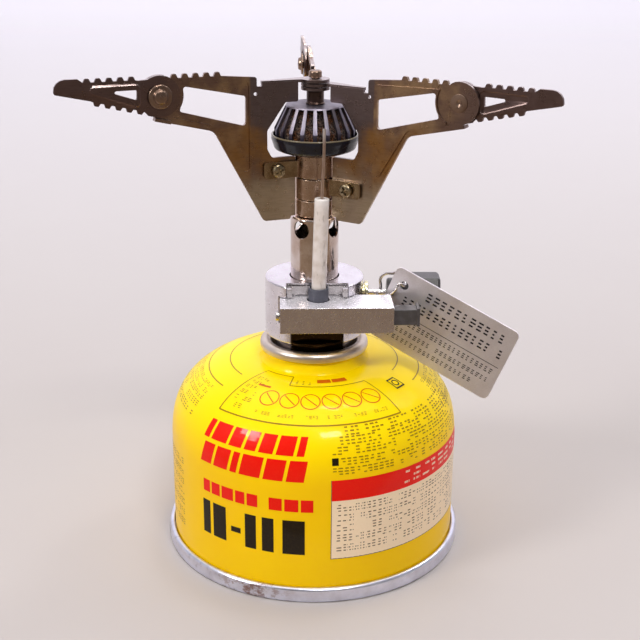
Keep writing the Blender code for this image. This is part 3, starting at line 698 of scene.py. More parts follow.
def make_looks():
    make_paint()
    for name, colour, faded, wear in (
        ("print_red", (234, 18, 0), (236, 52, 6), 0.3),
        ("print_black", (30, 20, 6), (60, 44, 10), 0.3),
        ("print_line", (150, 116, 4), (190, 150, 6), 0.3),
        ("print_rings", (206, 92, 6), (222, 130, 8), 0.3),
        ("print_cream", (247, 222, 188), (240, 212, 174), 0.5),
        ("print_grey", (112, 90, 70), (150, 126, 100), 0.6),
        ("print_pale", (240, 206, 178), (230, 160, 130), 0.5),
        ("tag_ink", (30, 26, 32), (58, 52, 58), 0.3),
    ):
        make_print(name, srgb(*colour), srgb(*faded), wear)
    make_tinplate()
    make_body_alloy()
    make_case_alloy()
    make_strap_steel()
    make_turned_metal("collar_steel", srgb(226, 214, 204), srgb(208, 194, 180), 0.36, nicks=0.001)
    make_turned_metal("tinted_chrome", srgb(226, 214, 210), srgb(200, 180, 168), 0.12, 0.001,
                      srgb(160, 126, 102))
    make_turned_metal("valve_brass", srgb(232, 226, 190), srgb(214, 204, 160), 0.22, 0.0, nicks=0.0)
    make_turned_metal("screw_brass", srgb(176, 160, 132), srgb(136, 120, 92), 0.26)
    make_turned_metal("plain_steel", srgb(222, 218, 218), srgb(196, 190, 188), 0.2, nicks=0.001)
    make_turned_metal("brown_steel", srgb(158, 134, 118), srgb(128, 104, 90), 0.3)
    make_turned_metal("burnt_steel", srgb(92, 74, 66), srgb(64, 50, 46), 0.3)
    make_turned_metal("copper_steel", srgb(196, 150, 122), srgb(166, 118, 90), 0.2, stain=srgb(120, 84, 62))
    make_crown_steel()
    make_spark_steel()
    # Colours: near, far, gold, low (the painted floor reflection at the foot), tip and warm
    for name, *colours in (
        ("heat_steel", (118, 104, 104), (136, 110, 96), (176, 146, 114), (188, 172, 150), (128, 106, 98),
         (164, 122, 74)),
        ("arm_steel", (128, 106, 98), (122, 100, 94), (132, 106, 92), (128, 106, 98), (114, 94, 90),
         (132, 106, 92)),
    ):
        make_heat_steel(name, *[srgb(*colour) for colour in colours])
    make_enamel()
    make_gauze()
    make_ceramic()
    make_plastic("moulded_plastic", srgb(62, 58, 58), srgb(76, 72, 74), 0.34)
    make_plastic("slate_plastic", srgb(78, 79, 90), srgb(66, 66, 76), 0.4)
    make_plastic("black_rubber", srgb(30, 30, 30), srgb(44, 42, 42), 0.6)
    make_tag_alloy()


# ---------------------------------------------------------------- gas canister


WALL_R = radius_of("canister_shell")


def skin_height(radius):
    """Height of the canister's shoulder at a radius."""
    share = (radius - NECK_R) / (WALL_R - NECK_R)
    rise = (1.0 - min(1.0, max(0.0, share)) ** DOME_ROUND_R) ** (1 / DOME_ROUND_Z)
    return WALL_TOP_Z + (DOME_TOP_Z - WALL_TOP_Z) * rise


def skin_radius(height):
    """Radius of the canister's skin at a height."""
    if height <= WALL_TOP_Z:
        return WALL_R
    share = (height - WALL_TOP_Z) / (DOME_TOP_Z - WALL_TOP_Z)
    return NECK_R + (WALL_R - NECK_R) * (1.0 - share ** DOME_ROUND_Z) ** (1 / DOME_ROUND_R)


def dome(inset, steps=36):
    points = []
    for k in range(steps, -1, -1):
        angle = math.pi / 2 * k / steps
        reach = WALL_R - inset - NECK_R
        rise = DOME_TOP_Z - inset - WALL_TOP_Z
        x = NECK_R + reach * math.cos(angle) ** (2 / DOME_ROUND_R)
        points.append((x, WALL_TOP_Z + rise * math.sin(angle) ** (2 / DOME_ROUND_Z)))
    return points


def make_canister():
    skin = 0.4
    foot_z = box_mm("canister_shell")[0].z
    bead = (COLLAR_R, COLLAR_Z - 0.1)
    outer = arc(bead, 0.9, 90, -45, 8) + [(15.3, 59.6)] + dome(0.0)
    inner = [(14.8, 59.6)] + arc(bead, 0.9, -110, -270, 8)[:-1]
    outline = outer + [(WALL_R, foot_z), (WALL_R - skin, foot_z)] + dome(skin)[::-1] + inner
    piece("canister_skin", turned(outline, FINE_ROUND), "yellow_lacquer", "canister_shell")

    rim = radius_of("canister_base")
    inner_r = WALL_R - 0.7
    outer_r = WALL_R + 0.3
    corners = [(0, 8.0, 0), (22, 7.0, 0), (40.9, 4.2, 0.8), (inner_r, 4.4, 0.3), (inner_r, 2.2, 0.1)]
    corners += [(outer_r, 2.2, 0.1), (outer_r, 4.6, 0.25), (rim, 4.6, 1.0), (rim, 0, 0.9), (42.3, 0, 0.5)]
    corners += [(41.2, 1.2, 0.6), (41.2, 3.6, 0.8), (22, 6.4, 0), (0, 7.5, 0)]
    piece("canister_foot", lathe(corners, FINE_ROUND, 6), "bright_tinplate", "canister_base")

    collar = (COLLAR_R, COLLAR_Z)
    top = box_mm("valve_cup")[1].z
    cup = arc(collar, COLLAR_TUBE_R, 90, 0, 10) + [(COLLAR_R + COLLAR_TUBE_R, 61.9)]
    cup += arc((15.95, 61.8), 0.2, 0, -90, 3) + [(15.7, 61.6)]
    cup += arc(collar, 1.25, 0, 180, 12) + [(13.2, 57.3), (5.05, 57.3), (5.05, 66.15), (2.0, 66.15)]
    cup += [(2.0, top), (5.2, top), (5.55, top - 0.35), (5.55, 57.75)]
    cup += arc((12.25, 58.25), 0.5, -90, 0, 4) + arc(collar, COLLAR_TUBE_R, 180, 90, 10)[:-1]
    piece("canister_collar", turned(cup, ROUND), "collar_steel", "valve_cup")


class Print:
    """Marks printed on the canister: thin patches that follow its skin."""

    def __init__(self, name, look):
        self.name = name
        self.look = look
        self.shape = bmesh.new()

    def point(self, azimuth, across, on_dome):
        """A point just off the skin. On the dome, across is the radius, and on the wall the height."""
        radius = across if on_dome else skin_radius(across)
        height = skin_height(across) if on_dome else across
        step = 0.05
        slope = (skin_height(radius + step) - skin_height(radius - step)) / (2 * step)
        if height <= WALL_TOP_Z:
            outward, up = 1.0, 0.0
        else:
            length = math.hypot(slope, 1.0)
            outward, up = -slope / length, 1.0 / length
        radius += PRINT_LIFT * outward
        angle = math.radians(azimuth)
        return Vector((radius * math.cos(angle), radius * math.sin(angle), height + PRINT_LIFT * up)) * MM

    def strip(self, first, second, on_dome):
        """A ribbon of faces between two lines of (azimuth, across) points."""
        rows = [[self.shape.verts.new(self.point(*p, on_dome)) for p in line] for line in (first, second)]
        for k in range(len(first) - 1):
            self.shape.faces.new((rows[0][k], rows[0][k + 1], rows[1][k + 1], rows[1][k]))

    def patch(self, start, end, low, high, on_dome=False, lean=0.0):
        """A block between two azimuths and two heights or radii, leaning by some degrees at its top."""
        columns = max(1, math.ceil(abs(end - start) / 2.0))
        rows = max(1, math.ceil(abs(high - low) / 1.5))
        lines = []
        for j in range(rows + 1):
            share = j / rows
            across = low + (high - low) * share
            angles = [start + (end - start) * k / columns + lean * share for k in range(columns + 1)]
            lines.append([(angle, across) for angle in angles])
        for first, second in zip(lines, lines[1:]):
            self.strip(first, second, on_dome)

    def around(self, start, end, radius):
        """A thin line on the dome, around the axis at a radius."""
        self.patch(start, end, radius - PRINT_EDGE / 2, radius + PRINT_EDGE / 2, True)

    def line(self, start, end, width):
        """A thin line on the dome between two (azimuth, radius) points."""
        steps = 12
        middle = [(start[0] + (end[0] - start[0]) * k / steps, start[1] + (end[1] - start[1]) * k / steps)
                  for k in range(steps + 1)]
        radius = (start[1] + end[1]) / 2
        run = Vector((math.radians(end[0] - start[0]) * radius, end[1] - start[1])).normalized() * (width / 2)
        side = (math.degrees(-run.y / radius), run.x)
        self.strip([(a - side[0], b - side[1]) for a, b in middle],
                   [(a + side[0], b + side[1]) for a, b in middle], True)

    def ring(self, azimuth, across, radius, width):
        """A thin ring on the dome, around a point at an azimuth and a radius."""
        lines = []
        for size in (radius - width / 2, radius + width / 2):
            spot = []
            for k in range(33):
                angle = math.tau * k / 32
                aside = math.degrees(size * math.cos(angle) / across)
                spot.append((azimuth + aside, across + size * math.sin(angle)))
            lines.append(spot)
        self.strip(*lines, True)

    def finish(self):
        bmesh.ops.recalc_face_normals(self.shape, faces=self.shape.faces)
        mesh = as_mesh(self.shape, self.name)
        mesh.shade_smooth()
        piece(self.name, mesh, self.look, "canister_shell", replaces=False)


def greeked_row(mark, start, end, low, high, seed, on_dome=False, cell=2.3):
    """A row of small stacked dashes that reads as fine print from afar, and spells nothing."""
    chance = random.Random(seed)
    angle = start
    thin = (high - low) * 0.17
    while angle < end - cell:
        width = cell * chance.uniform(0.55, 0.82)
        if chance.random() < 0.86:
            for share in (0.0, 0.415, 0.83):
                inset = width * chance.choice((0.0, 0.0, 0.2, 0.35))
                if chance.random() < 0.85:
                    base = low + (high - low) * share
                    mark.patch(angle + inset, angle + width, base, base + thin, on_dome)
        angle += cell


def print_front_blocks(red, black):
    """Two rows of leaning red blocks, a row of small ones, and heavy black bars under them."""
    left, right = -138.0, -92.0
    for low, high, widths in ((44.6, 49.4, (3, 8, 6, 5, 6, 7, 3)), (37.4, 43.4, (6, 7, 3, 9, 8, 7))):
        gap = 1.3
        unit = (right - left - 1.5 - gap * (len(widths) - 1)) / sum(widths)
        angle = left
        for width in widths:
            red.patch(angle, angle + width * unit, low, high, lean=1.5)
            angle += width * unit + gap
    angle = left + 1.5
    for width in (3.6, 4.2, 5.4, 4.0, 4.4, 0, 5.0, 5.2, 4.6):
        if width:
            red.patch(angle, angle + width, 28.2, 32.0)
        angle += (width or 2.6) + 0.95
    for start, end, low, high in ((-137.0, -133.0, 14.7, 25.4), (-131.4, -125.0, 14.7, 25.4),
                                  (-122.6, -118.3, 18.5, 20.2), (-116.4, -111.8, 14.7, 25.4),
                                  (-109.4, -104.8, 14.7, 25.4), (-101.4, -93.0, 14.7, 25.4)):
        black.patch(start, end, low, high)


def print_side_panel(red, cream, grey, pale):
    """A panel without any words: a red band over cream, with rows of dashes."""
    red.patch(-83.2, -8.0, 31.6, 37.9)
    cream.patch(-83.2, -8.0, 13.4, 31.6)
    for k in range(5):
        middle = 29.3 - 3.15 * k
        greeked_row(grey, -81.2, -10.0, middle - 1.05, middle + 1.05, 11 + k)
    greeked_row(pale, -54.0, -12.0, 33.0, 36.8, 21, cell=5.2)
    for start, end, low, high in ((-83.4, -83.1, 13.2, 37.9), (-83.4, -8.0, 13.2, 13.45)):
        grey.patch(start, end, low, high)


def print_fine_rows(line, black):
    """Rows of dashes over the side panel, with a black square."""
    for k, middle in enumerate((50.4, 48.3, 45.9, 43.1, 40.5)):
        start = (-77.0, -79.5, -83.0, -79.5, -83.0)[k]
        greeked_row(line, start, -10.0, middle - 0.95, middle + 0.95, 31 + k)
    black.patch(-83.0, -80.5, 42.1, 44.1)


def print_shoulder_panel(line, rings):
    """A panel on the shoulder, with a stepped upper edge and a row of plain rings."""
    for start, end, radius in ((-136.3, -48.3, 37.0), (-136.3, -108.1, 18.4), (-106.8, -52.3, 23.7)):
        line.around(start, end, radius)
    for start, end in (((-136.3, 18.4), (-136.3, 37.0)), ((-108.1, 18.4), (-106.8, 23.7)),
                       ((-52.3, 23.7), (-48.3, 37.0))):
        line.line(start, end, PRINT_EDGE)
    for k in range(6):
        azimuth = -114.4 + 11.35 * k
        rings.ring(azimuth, 30.0, 2.7, PRINT_EDGE)
        rings.line((azimuth - 3.4, 28.4), (azimuth + 3.4, 31.6), 0.3)
        greeked_row(line, azimuth - 3.6, azimuth + 4.8, 34.6, 35.4, 51 + k, True, 1.6)
    greeked_row(line, -103.5, -90.0, 20.6, 22.6, 61, True, 2.4)
    rings.patch(-87.3, -76.6, 19.6, 21.6, True)
    rings.patch(-75.4, -63.4, 19.6, 21.6, True)
    for k in range(6):
        greeked_row(line, -133.5, -120.5, 22.6 + 2.3 * k, 23.8 + 2.3 * k, 71 + k, True, 2.8)
    rings.patch(-127.0, -118.0, 25.6, 26.4, True)


def print_icon_and_backs(black, line):
    """A square icon, the lines and rows on the shoulder behind it, and rows on the back of the wall."""
    for start, end, low, high in ((-39.6, -38.9, 27.0, 31.2), (-32.9, -32.2, 27.0, 31.2),
                                  (-39.6, -32.2, 27.0, 27.5), (-39.6, -32.2, 30.7, 31.2)):
        black.patch(start, end, low, high, True)
    black.ring(-35.9, 29.1, 1.0, 0.4)
    for start, end in ((-23.7, 62.0), (-232.0, -146.0)):
        for radius in (25.2, 31.6):
            line.around(start, end, radius)
        for k in range(5):
            greeked_row(line, start + 4, end - 4, 33.2 + 1.6 * k, 34.2 + 1.6 * k, 81 + k, True, 2.6)
    for k in range(7):
        middle = 12.0 + 3.4 * k
        greeked_row(line, -188.0, -149.0, middle - 0.9, middle + 0.9, 91 + k)


def make_prints():
    names = ("red", "black", "line", "cream", "grey", "pale", "rings")
    marks = [Print("canister_print_" + name, "print_" + name) for name in names]
    red, black, line, cream, grey, pale, rings = marks
    print_front_blocks(red, black)
    print_side_panel(red, cream, grey, pale)
    print_fine_rows(line, black)
    print_shoulder_panel(line, rings)
    print_icon_and_backs(black, line)
    for mark in marks:
        mark.finish()


# ---------------------------------------------------------------- burner body


def make_body():
    low, high = box_mm("base_housing")
    radius = high.x
    corners = [(7.3, high.z, 0.15), (radius, high.z, 0.55), (radius, low.z, 0.6), (7.5, low.z, 0.15)]
    corners += [(7.5, 72.7, 0), (3.2, 72.7, 0), (3.2, 81.4, 0), (7.3, 81.4, 0)]
    housing = lathe(corners, ROUND, 5)
    igniter = turn_z(IGNITER_TURN)
    front = -20.0
    pocket = block((-10.7, front, 72.1), (20.0, -7.9, 80.3))
    notch = block((-8.5, front, 79.0), (9.5, -8.1, 86.0))
    slot = block((-6.7, front, 60.0), (8.1, -9.0, 74.0))
    along_x = at(0, 0, VALVE_Z) @ along((1, 0, 0))
    tools = [(pocket, igniter), (notch, igniter), (slot, igniter)]
    tools += [(rod(1.35, 30.0), along_x), (rod(2.9, 10.0), at(9.2, 0, VALVE_Z) @ along((1, 0, 0)))]
    piece("burner_base", softened(cut(housing, *tools), 0.18, 2, 50), "satin_alloy", "base_housing")

    top = box_mm("canister_adapter")[1].z
    adapter = [(1.3, top, 0), (7.2, top, 0.3), (7.2, 65.9, 0.3), (11.5, 65.9, 0.4), (11.5, 58.3, 0.5)]
    adapter += [(5.9, 58.3, 0.3), (5.9, 68.7, 0), (1.3, 68.7, 0)]
    piece("screw_adapter", lathe(adapter), "satin_alloy", "canister_adapter")

    tube_low, tube_high = box_mm("mixing_tube")
    radius = tube_high.x
    top = tube_high.z
    corners = [(4.95, top, 0), (radius, top, 0.5), (radius, tube_low.z, 0.1), (6.4, tube_low.z, 0)]
    corners += [(6.4, top - 0.45, 0), (4.95, top - 0.45, 0)]
    tube = lathe(corners, ROUND, 5)
    drills = []
    for azimuth in (-125.0, -33.0):
        direction = turn_z(azimuth) @ along((1, 0, 0))
        drills.append((rod(2.6, 20.0), at(0, 0, 98.7) @ direction @ at(0, 0, -10)))
    piece("air_tube", softened(cut(tube, *drills), 0.12, 2, 60), "tinted_chrome", "mixing_tube")

    low, high = box_mm("burner_stem")
    stem = [(4.0, high.z, 0), (4.7, high.z, 0.1), (4.7, low.z, 0.1), (4.0, low.z, 0)]
    piece("stem_tube", lathe(stem), "copper_steel", "burner_stem")


def make_head():
    high = box_mm("burner_bowl")[1]
    radius = high.x
    bowl = [(radius, high.z, 0.25), (radius, 124.4, 1.2), (11.6, 121.5, 1.2), (9.2, 120.6, 1.0)]
    bowl += [(6.5, 120.2, 0), (5.0, 120.1, 0), (5.0, 120.8, 0), (9.2, 121.5, 0.6), (11.2, 122.5, 0.6)]
    bowl += [(11.87, 124.7, 0.3), (11.87, high.z, 0.2)]
    piece("head_bowl", lathe(bowl), "black_enamel", "burner_bowl")

    mesh_cone = [(7.05, 132.8), (10.35, 126.9), (10.35, 124.9), (9.95, 124.9), (9.95, 126.8), (6.65, 132.8)]
    piece("flame_gauze", turned(mesh_cone, ROUND), "burnt_mesh", "flame_mesh")

    top = box_mm("burner_crown")[1].z
    crown = [(0, top, 0), (8.2, top, 0.35), (11.55, 127.2, 0.4), (11.55, 125.4, 0.15), (11.15, 125.0, 0)]
    crown += [(11.15, 123.7, 0), (10.75, 123.7, 0), (10.75, 127.0, 0.3), (7.5, 133.1, 0.3), (0, 133.1, 0)]
    mesh = lathe(crown, 120)
    # Each slot is wider at its foot than at its top
    slots = []
    for k in range(CROWN_SLOTS):
        wedge = block((7.0, -0.5, 125.0), (14.0, 0.5, 133.5))
        for vert in wedge.vertices:
            vert.co.y *= 2.65 if vert.co.z < 130.0 * MM else 1.75
        slots.append((wedge, turn_z(360 * (k + 0.5) / CROWN_SLOTS)))
    piece("slotted_crown", softened(cut(mesh, *slots), 0.12, 2, 50), "crown_steel", "burner_crown")

    post_top = box_mm("burner_post")[1].z
    post = [(0, 134.8, 0), (1.3, 134.8, 0), (1.3, post_top, 0.1), (2.45, post_top, 0.3), (2.45, 134.6, 0.3)]
    post += [(2.9, 134.1, 0.1), (0, 134.1, 0)]
    piece("centre_post", lathe(post, 48), "burnt_steel", "burner_post")
    rivet_top = box_mm("pivot_rivet")[1].z
    rivet = [(0, rivet_top, 0), (1.83, rivet_top, 0.6), (1.83, 141.3, 0.2), (0.95, 141.3, 0)]
    rivet += [(0.95, 135.1, 0.2), (0, 135.1, 0)]
    piece("ear_rivet", lathe(rivet, 48), "brown_steel", "pivot_rivet")


# ---------------------------------------------------------------- valve and igniter


def make_valve():
    along_x = at(0, 0, VALVE_Z) @ along((1, 0, 0))
    gland = [(1.35, 15.9, 0.1), (3.4, 15.9, 0.3), (3.4, 14.8, 0.2), (2.6, 14.8, 0)]
    gland += [(2.6, 9.6, 0), (1.35, 9.6, 0)]
    piece("brass_gland", moved(lathe(gland, 48), along_x), "valve_brass", "gland_nut")
    spindle = [(0, 29.6, 0), (1.0, 29.6, 0.2), (1.0, 5.6, 0), (0.3, 4.0, 0), (0, 4.0, 0)]
    piece("bright_spindle", moved(lathe(spindle, 32), along_x), "plain_steel", "valve_spindle")

    end = radius_of("control_knob")
    start = 25.0
    radius = 6.2
    hub = turned([(1.3, 25.5), (4.3, 25.5), (4.3, 21.9), (3.9, 21.4), (1.3, 21.4)], 48)
    grip = [(1.0, end), (radius - 0.7, end), (radius, end - 0.7), (radius, start + 0.7)]
    grip = turned(grip + [(radius - 0.7, start), (1.0, start)], 6)
    knob = joined(grip, (hub, HERE))
    knob = cut(knob, (rod(1.3, 30.0), at(0, 0, 20)), (rod(2.45, 5.0), at(0, 0, 35.5)))
    flat_up = along_x @ turn_z(30)
    piece("hex_knob", moved(softened(knob, 0.45, 3, 28), flat_up), "moulded_plastic", "control_knob")
    screw = [(0, 36.7, 0), (2.1, 36.7, 0.5), (2.1, 35.8, 0.1), (0.9, 35.8, 0), (0.9, 30.0, 0), (0, 30.0, 0)]
    screw = crossed(lathe(screw, 40), 1.5, 0.28, 36.2, 37.0)
    piece("knob_end_screw", moved(screw, along_x), "plain_steel", "knob_screw")


def make_igniter():
    igniter = turn_z(IGNITER_TURN)
    case = block((-10.3, -20.0, 72.4), (21.9, -8.3, 80.0))
    channel = block((-8.8, -19.5, 74.2), (30.0, -14.3, 79.4))
    boot_hole = (rod(3.2, 10.0), igniter.inverted() @ at(1.2, -12.0, 76.0))
    pin_hole = (rod(1.1, 5.0, 24), at(-12.0, -16.9, 76.8) @ along((1, 0, 0)))
    case = cut(case, (channel, HERE), boot_hole, pin_hole)
    piece("spark_case", moved(softened(case, 0.35, 3, 50), igniter), "case_alloy", "igniter_case")

    pin = [(0, 4.6, 0), (0.8, 4.6, 0), (0.8, 1.0, 0.1), (1.4, 1.0, 0.1), (1.4, 0, 0.35), (0, 0, 0)]
    matrix = igniter @ at(-11.6, -16.9, 76.8) @ along((1, 0, 0))
    piece("case_pin", moved(lathe(pin, 32), matrix), "plain_steel", "igniter_pin")

    button = block((17.0, -19.2, 74.5), (28.8, -14.6, 79.1))
    button = joined(button, (block((28.4, -19.6, 74.2), (29.3, -14.2, 79.6)), HERE))
    piece("spark_button", moved(softened(button, 0.3, 3, 50), igniter), "moulded_plastic", "igniter_button")

    bracket = block((-8.2, -8.9, 80.3), (9.2, -8.4, 82.9))
    cheeks = [(block((start, -11.6, 80.35), (start + 1.4, -8.5, 82.85)), HERE) for start in (-8.2, 7.8)]
    bracket = joined(bracket, *cheeks)
    piece("notch_bracket", moved(softened(bracket, 0.15, 2, 50), igniter), "plain_steel", "igniter_bracket")

    foot = Vector((1.2, -12.0, 80.8))
    top = Vector((2.0, -12.0, box_mm("ceramic_insulator")[1].z))
    lean = at(*foot) @ along(top - foot)
    length = (top - foot).length
    boot = [(2.5, 83.7, 0.1), (2.9, 83.7, 0.3), (2.9, 79.0, 0), (0.8, 79.0, 0)]
    boot += [(0.8, 80.4, 0), (2.5, 80.4, 0)]
    piece("rubber_boot", moved(lathe(boot, 48), at(1.2, -12.0, 0)), "slate_plastic", "electrode_boot")
    tube = [(0.8, length, 0.1), (2.1, length, 0.4), (2.1, 0, 0.1), (0.8, 0, 0)]
    piece("ceramic_tube", moved(lathe(tube, 48), lean), "glazed_ceramic", "ceramic_insulator")
    path = [(1.2, -12.0, 79.4), (1.2, -12.0, 80.8), tuple(top), (2.15, -12.4, 114.0)]
    path += [(2.4, -13.3, 120.0), (2.5, -13.6, 125.0), (2.5, -13.4, 129.5)]
    piece("spark_wire", wire(path, WIRE_R), "spark_steel", "electrode_wire")


# ---------------------------------------------------------------- hang tag


def tag_frame():
    """The tag's own frame: X along it, Z across it, and Y into it."""
    lean = Matrix.Rotation(math.radians(-5.0), 4, "X")
    tilt = Matrix.Rotation(math.radians(21.6), 4, "Y")
    return at(37.07, -12.9, 70.3) @ (turn_z(-23.9) @ lean @ tilt)


def make_tag():
    half_x, half_z = 20.15, 11.4
    thickness = 0.8
    corners = [(-half_x, -half_z, 1.7), (half_x, -half_z, 1.7), (half_x, half_z, 1.7), (-half_x, half_z, 1.7)]
    blank = sheet([rounded(corners, 6), circle((-16.0, 6.9), 1.3, 32)], thickness)
    piece("metal_tag", moved(softened(blank, 0.3, 3, 50), tag_frame() @ upright()), "tag_alloy", "id_tag")

    shape = bmesh.new()
    depth = -thickness / 2 - 0.03

    def bar(x, z, width, height):
        spots = ((x, z), (x + width, z), (x + width, z + height), (x, z + height))
        shape.faces.new([shape.verts.new(Vector((a, depth, b)) * MM) for a, b in spots])

    chance = random.Random(5)
    for z, height, start, end, pitch in ((6.0, 2.6, -8.5, 17.0, 2.4), (1.6, 2.6, -14.5, 17.5, 2.1),
                                         (-3.6, 1.5, -17.5, 18.0, 1.5), (-6.4, 1.3, -17.5, 18.0, 1.5),
                                         (-9.0, 1.3, -17.5, 14.0, 1.5)):
        x = start
        while x < end:
            width = pitch * chance.uniform(0.45, 0.75)
            if chance.random() < 0.88:
                thin = height * 0.19
                for share in (0.0, 0.4, 0.81):
                    bar(x, z + height * share, width * chance.uniform(0.6, 1.0), thin)
            x += pitch
    bar(-19.0, -1.0, 38.0, 0.18)
    bmesh.ops.recalc_face_normals(shape, faces=shape.faces)
    piece("tag_marks", moved(as_mesh(shape, "tag_marks"), tag_frame()), "tag_ink", "id_tag", replaces=False)

    hole = tag_frame() @ (Vector((-16.0, 0, 6.9)) * MM) / MM
    bends = ((24.5, -8.1, 83.4), (23.5, -7.7, 81.6), (21.7, -6.6, 79.6), (19.0, -5.2, 77.6),
             (18.6, -3.0, 76.4), (19.0, 0.0, 75.9), (19.5, 1.9, 77.0), (19.8, 2.5, 79.3), (19.6, 1.8, 81.6),
             (20.8, -0.2, 83.9), (22.6, -2.6, 84.9), (24.3, -4.5, 85.3), (26.1, -4.9, 83.4))
    piece("tag_loop", wire([tuple(hole)] + list(bends), WIRE_R, True), "plain_steel", "tag_ring")


# ---------------------------------------------------------------- pot supports


PIVOT_JOINT = joint_of["left_arm_fold"]["pos_m"]
PIVOT = (math.hypot(PIVOT_JOINT[0], PIVOT_JOINT[1]) * PER_METRE, PIVOT_JOINT[2] * PER_METRE)
TOP_Z = box_mm("left_support_plate")[1].z


def slope_corner(distance, run, radius=0):
    """A corner at a distance below the pivot, square to the sloping lower edge, and some way along it."""
    angle = math.radians(ARM_SLOPE)
    x = PIVOT[0] + distance * math.sin(angle) + run * math.cos(angle)
    z = PIVOT[1] - distance * math.cos(angle) + run * math.sin(angle)
    return x, z, radius


def plate_outline(ear_z, foot_z):
    """Edge of a support plate, clockwise from the inner end of its raised strip."""
    notch_z = ear_z - 0.6
    corners = [(17.2, 142.2, 0.7)]
    corners += teeth(28.3, 2.985, 5, 143.0, TOP_Z)
    corners += [(41.6, 143.0, 0)] + unrounded(arc(PIVOT, LOBE_R, 105, -76.6, 40))
    low_z = foot_z - 0.9
    corners += [slope_corner(TAB_FAR, 0.3), slope_corner(TAB_FAR, -16.9, 3.5), (15.5, low_z, 1.3)]
    corners += [(7.5, low_z, 0.4), (7.5, foot_z, 0.2), (6.1, foot_z, 0.4), (6.1, 119.5, 0.3)]
    corners += [(13.0, 119.5, 1.2), (14.3, 122.0, 0.8), (14.3, 127.2, 1.0), (8.9, 134.9, 0.5)]
    corners += [(5.2, 134.9, 0.6)]
    corners += [(5.2, ear_z + 0.4, 0), (15.7, ear_z + 0.4, 0), (15.7, notch_z, 0.3), (17.2, notch_z, 0.3)]
    return rounded(corners)


def panel_outline():
    """Edge of the plate's stamped panel, a little inside the plate's own edge."""
    corners = [(19.2, 141.1, 0.8)]
    corners += unrounded(arc(PIVOT, 6.4, 150, 232, 12))
    corners += [slope_corner(5.15, -3.0, 0.6), slope_corner(5.15, -16.6, 2.5), (19.2, 112.6, 1.2)]
    return rounded(corners)


def arm_panel():
    return rounded([(66.9, 141.6, 0.8), (50.0, 141.9, 0.8), (50.0, 136.0, 0.8)])


def shrunk(outline, share):
    """An outline drawn in towards its middle."""
    middle = [sum(values) / len(outline) for values in zip(*outline)]
    return [(middle[0] + (x - middle[0]) * share, middle[1] + (y - middle[1]) * share) for x, y in outline]


def stamped(outline, holes, panel, window, depth, thickness):
    """A blank with a windowed panel pushed through by some depth along its own Z."""
    border = sheet([outline, shrunk(panel, 0.98)] + holes, thickness)
    return joined(border, (sheet([panel, window], thickness), at(0, 0, depth)))


def widened(outline, distance):
    """A rounded outline moved sideways, outwards for a positive distance."""
    points = [Vector(point) for point in outline]
    turning = sum(a.x * b.y - a.y * b.x for a, b in zip(points, points[1:] + points[:1]))
    sign = 1.0 if turning > 0 else -1.0
    moved_points = []
    for index, point in enumerate(points):
        chord = points[(index + 1) % len(points)] - points[index - 1]
        outward = Vector((chord.y, -chord.x)).normalized() * sign
        moved_points.append(tuple(point + outward * distance))
    return moved_points


def ledge(panel, depth, thickness):
    """Mesh of the sloping wall between a blank and the panel pushed out of it."""
    inner = thickness / 2 - 0.02
    outer = thickness / 2 - 0.04
    rings = [(-0.15, depth + inner), (LEDGE_W, outer), (LEDGE_W, -outer), (-0.15, depth - inner)]
    shape = bmesh.new()
    loops = []
    for distance, height in rings:
        loops.append([shape.verts.new((x, y, height)) for x, y in widened(panel, distance)])
    for loop, following in zip(loops, loops[1:] + loops[:1]):
        for index in range(len(loop)):
            after = (index + 1) % len(loop)
            shape.faces.new((loop[index], loop[after], following[after], following[index]))
    bmesh.ops.triangulate(shape, faces=shape.faces)
    return tidy(in_metres(as_mesh(shape, "ledge")))


def window_outline():
    outer_end = unrounded(arc(PIVOT, 6.8, 222, 161, 12))
    outer_end[0] = (39.5, 134.0, 0.6)
    outer_end[-1] = (38.0, 140.7, 0.7)
    return rounded([(20.2, 137.1, 0.9), (20.3, 128.8, 0.9)] + outer_end)


def ear_outline(side):
    eye = arc((0, 0), EAR_R, 68, 352, 40)
    points = [(5.4, -0.35), (15.7, -0.35), (15.7, 0.9)] + eye
    return [(x, y * side) for x, y in points]


def arm_outline():
    """Edge of an outer arm, clockwise from the top of its pivot disc."""
    neck_z = PIVOT[1] + 4.5
    corners = unrounded(arc(PIVOT, LOBE_R, 90, 56, 8))
    corners += [(50.2, neck_z, 0.4)]
    corners += teeth(51.93, 2.94, 5, 143.1, TOP_Z)
    corners += [(66.1, TOP_Z, 0.3), (72.5, TOP_Z, 3.0), (72.4, 140.3, 0.6)]
    corners += [slope_corner(4.58, 18.0)]
    tip, base = TOOTH_HALF
    for k in range(4, -1, -1):
        middle = 4.46 + 2.93 * k
        for distance, aside in ((4.7, base), (LOBE_R, tip), (LOBE_R, -tip), (4.7, -base)):
            corners.append(slope_corner(distance, middle + aside, 0.25))
    corners += [slope_corner(LOBE_R, 2.1)]
    corners += unrounded(arc(PIVOT, LOBE_R, -76.6, -250, 40))
    return rounded(corners)


def arm_window():
    return rounded([(58.6, 140.5, 0.4), (50.7, 140.6, 0.4), (50.8, 137.9, 0.4)])


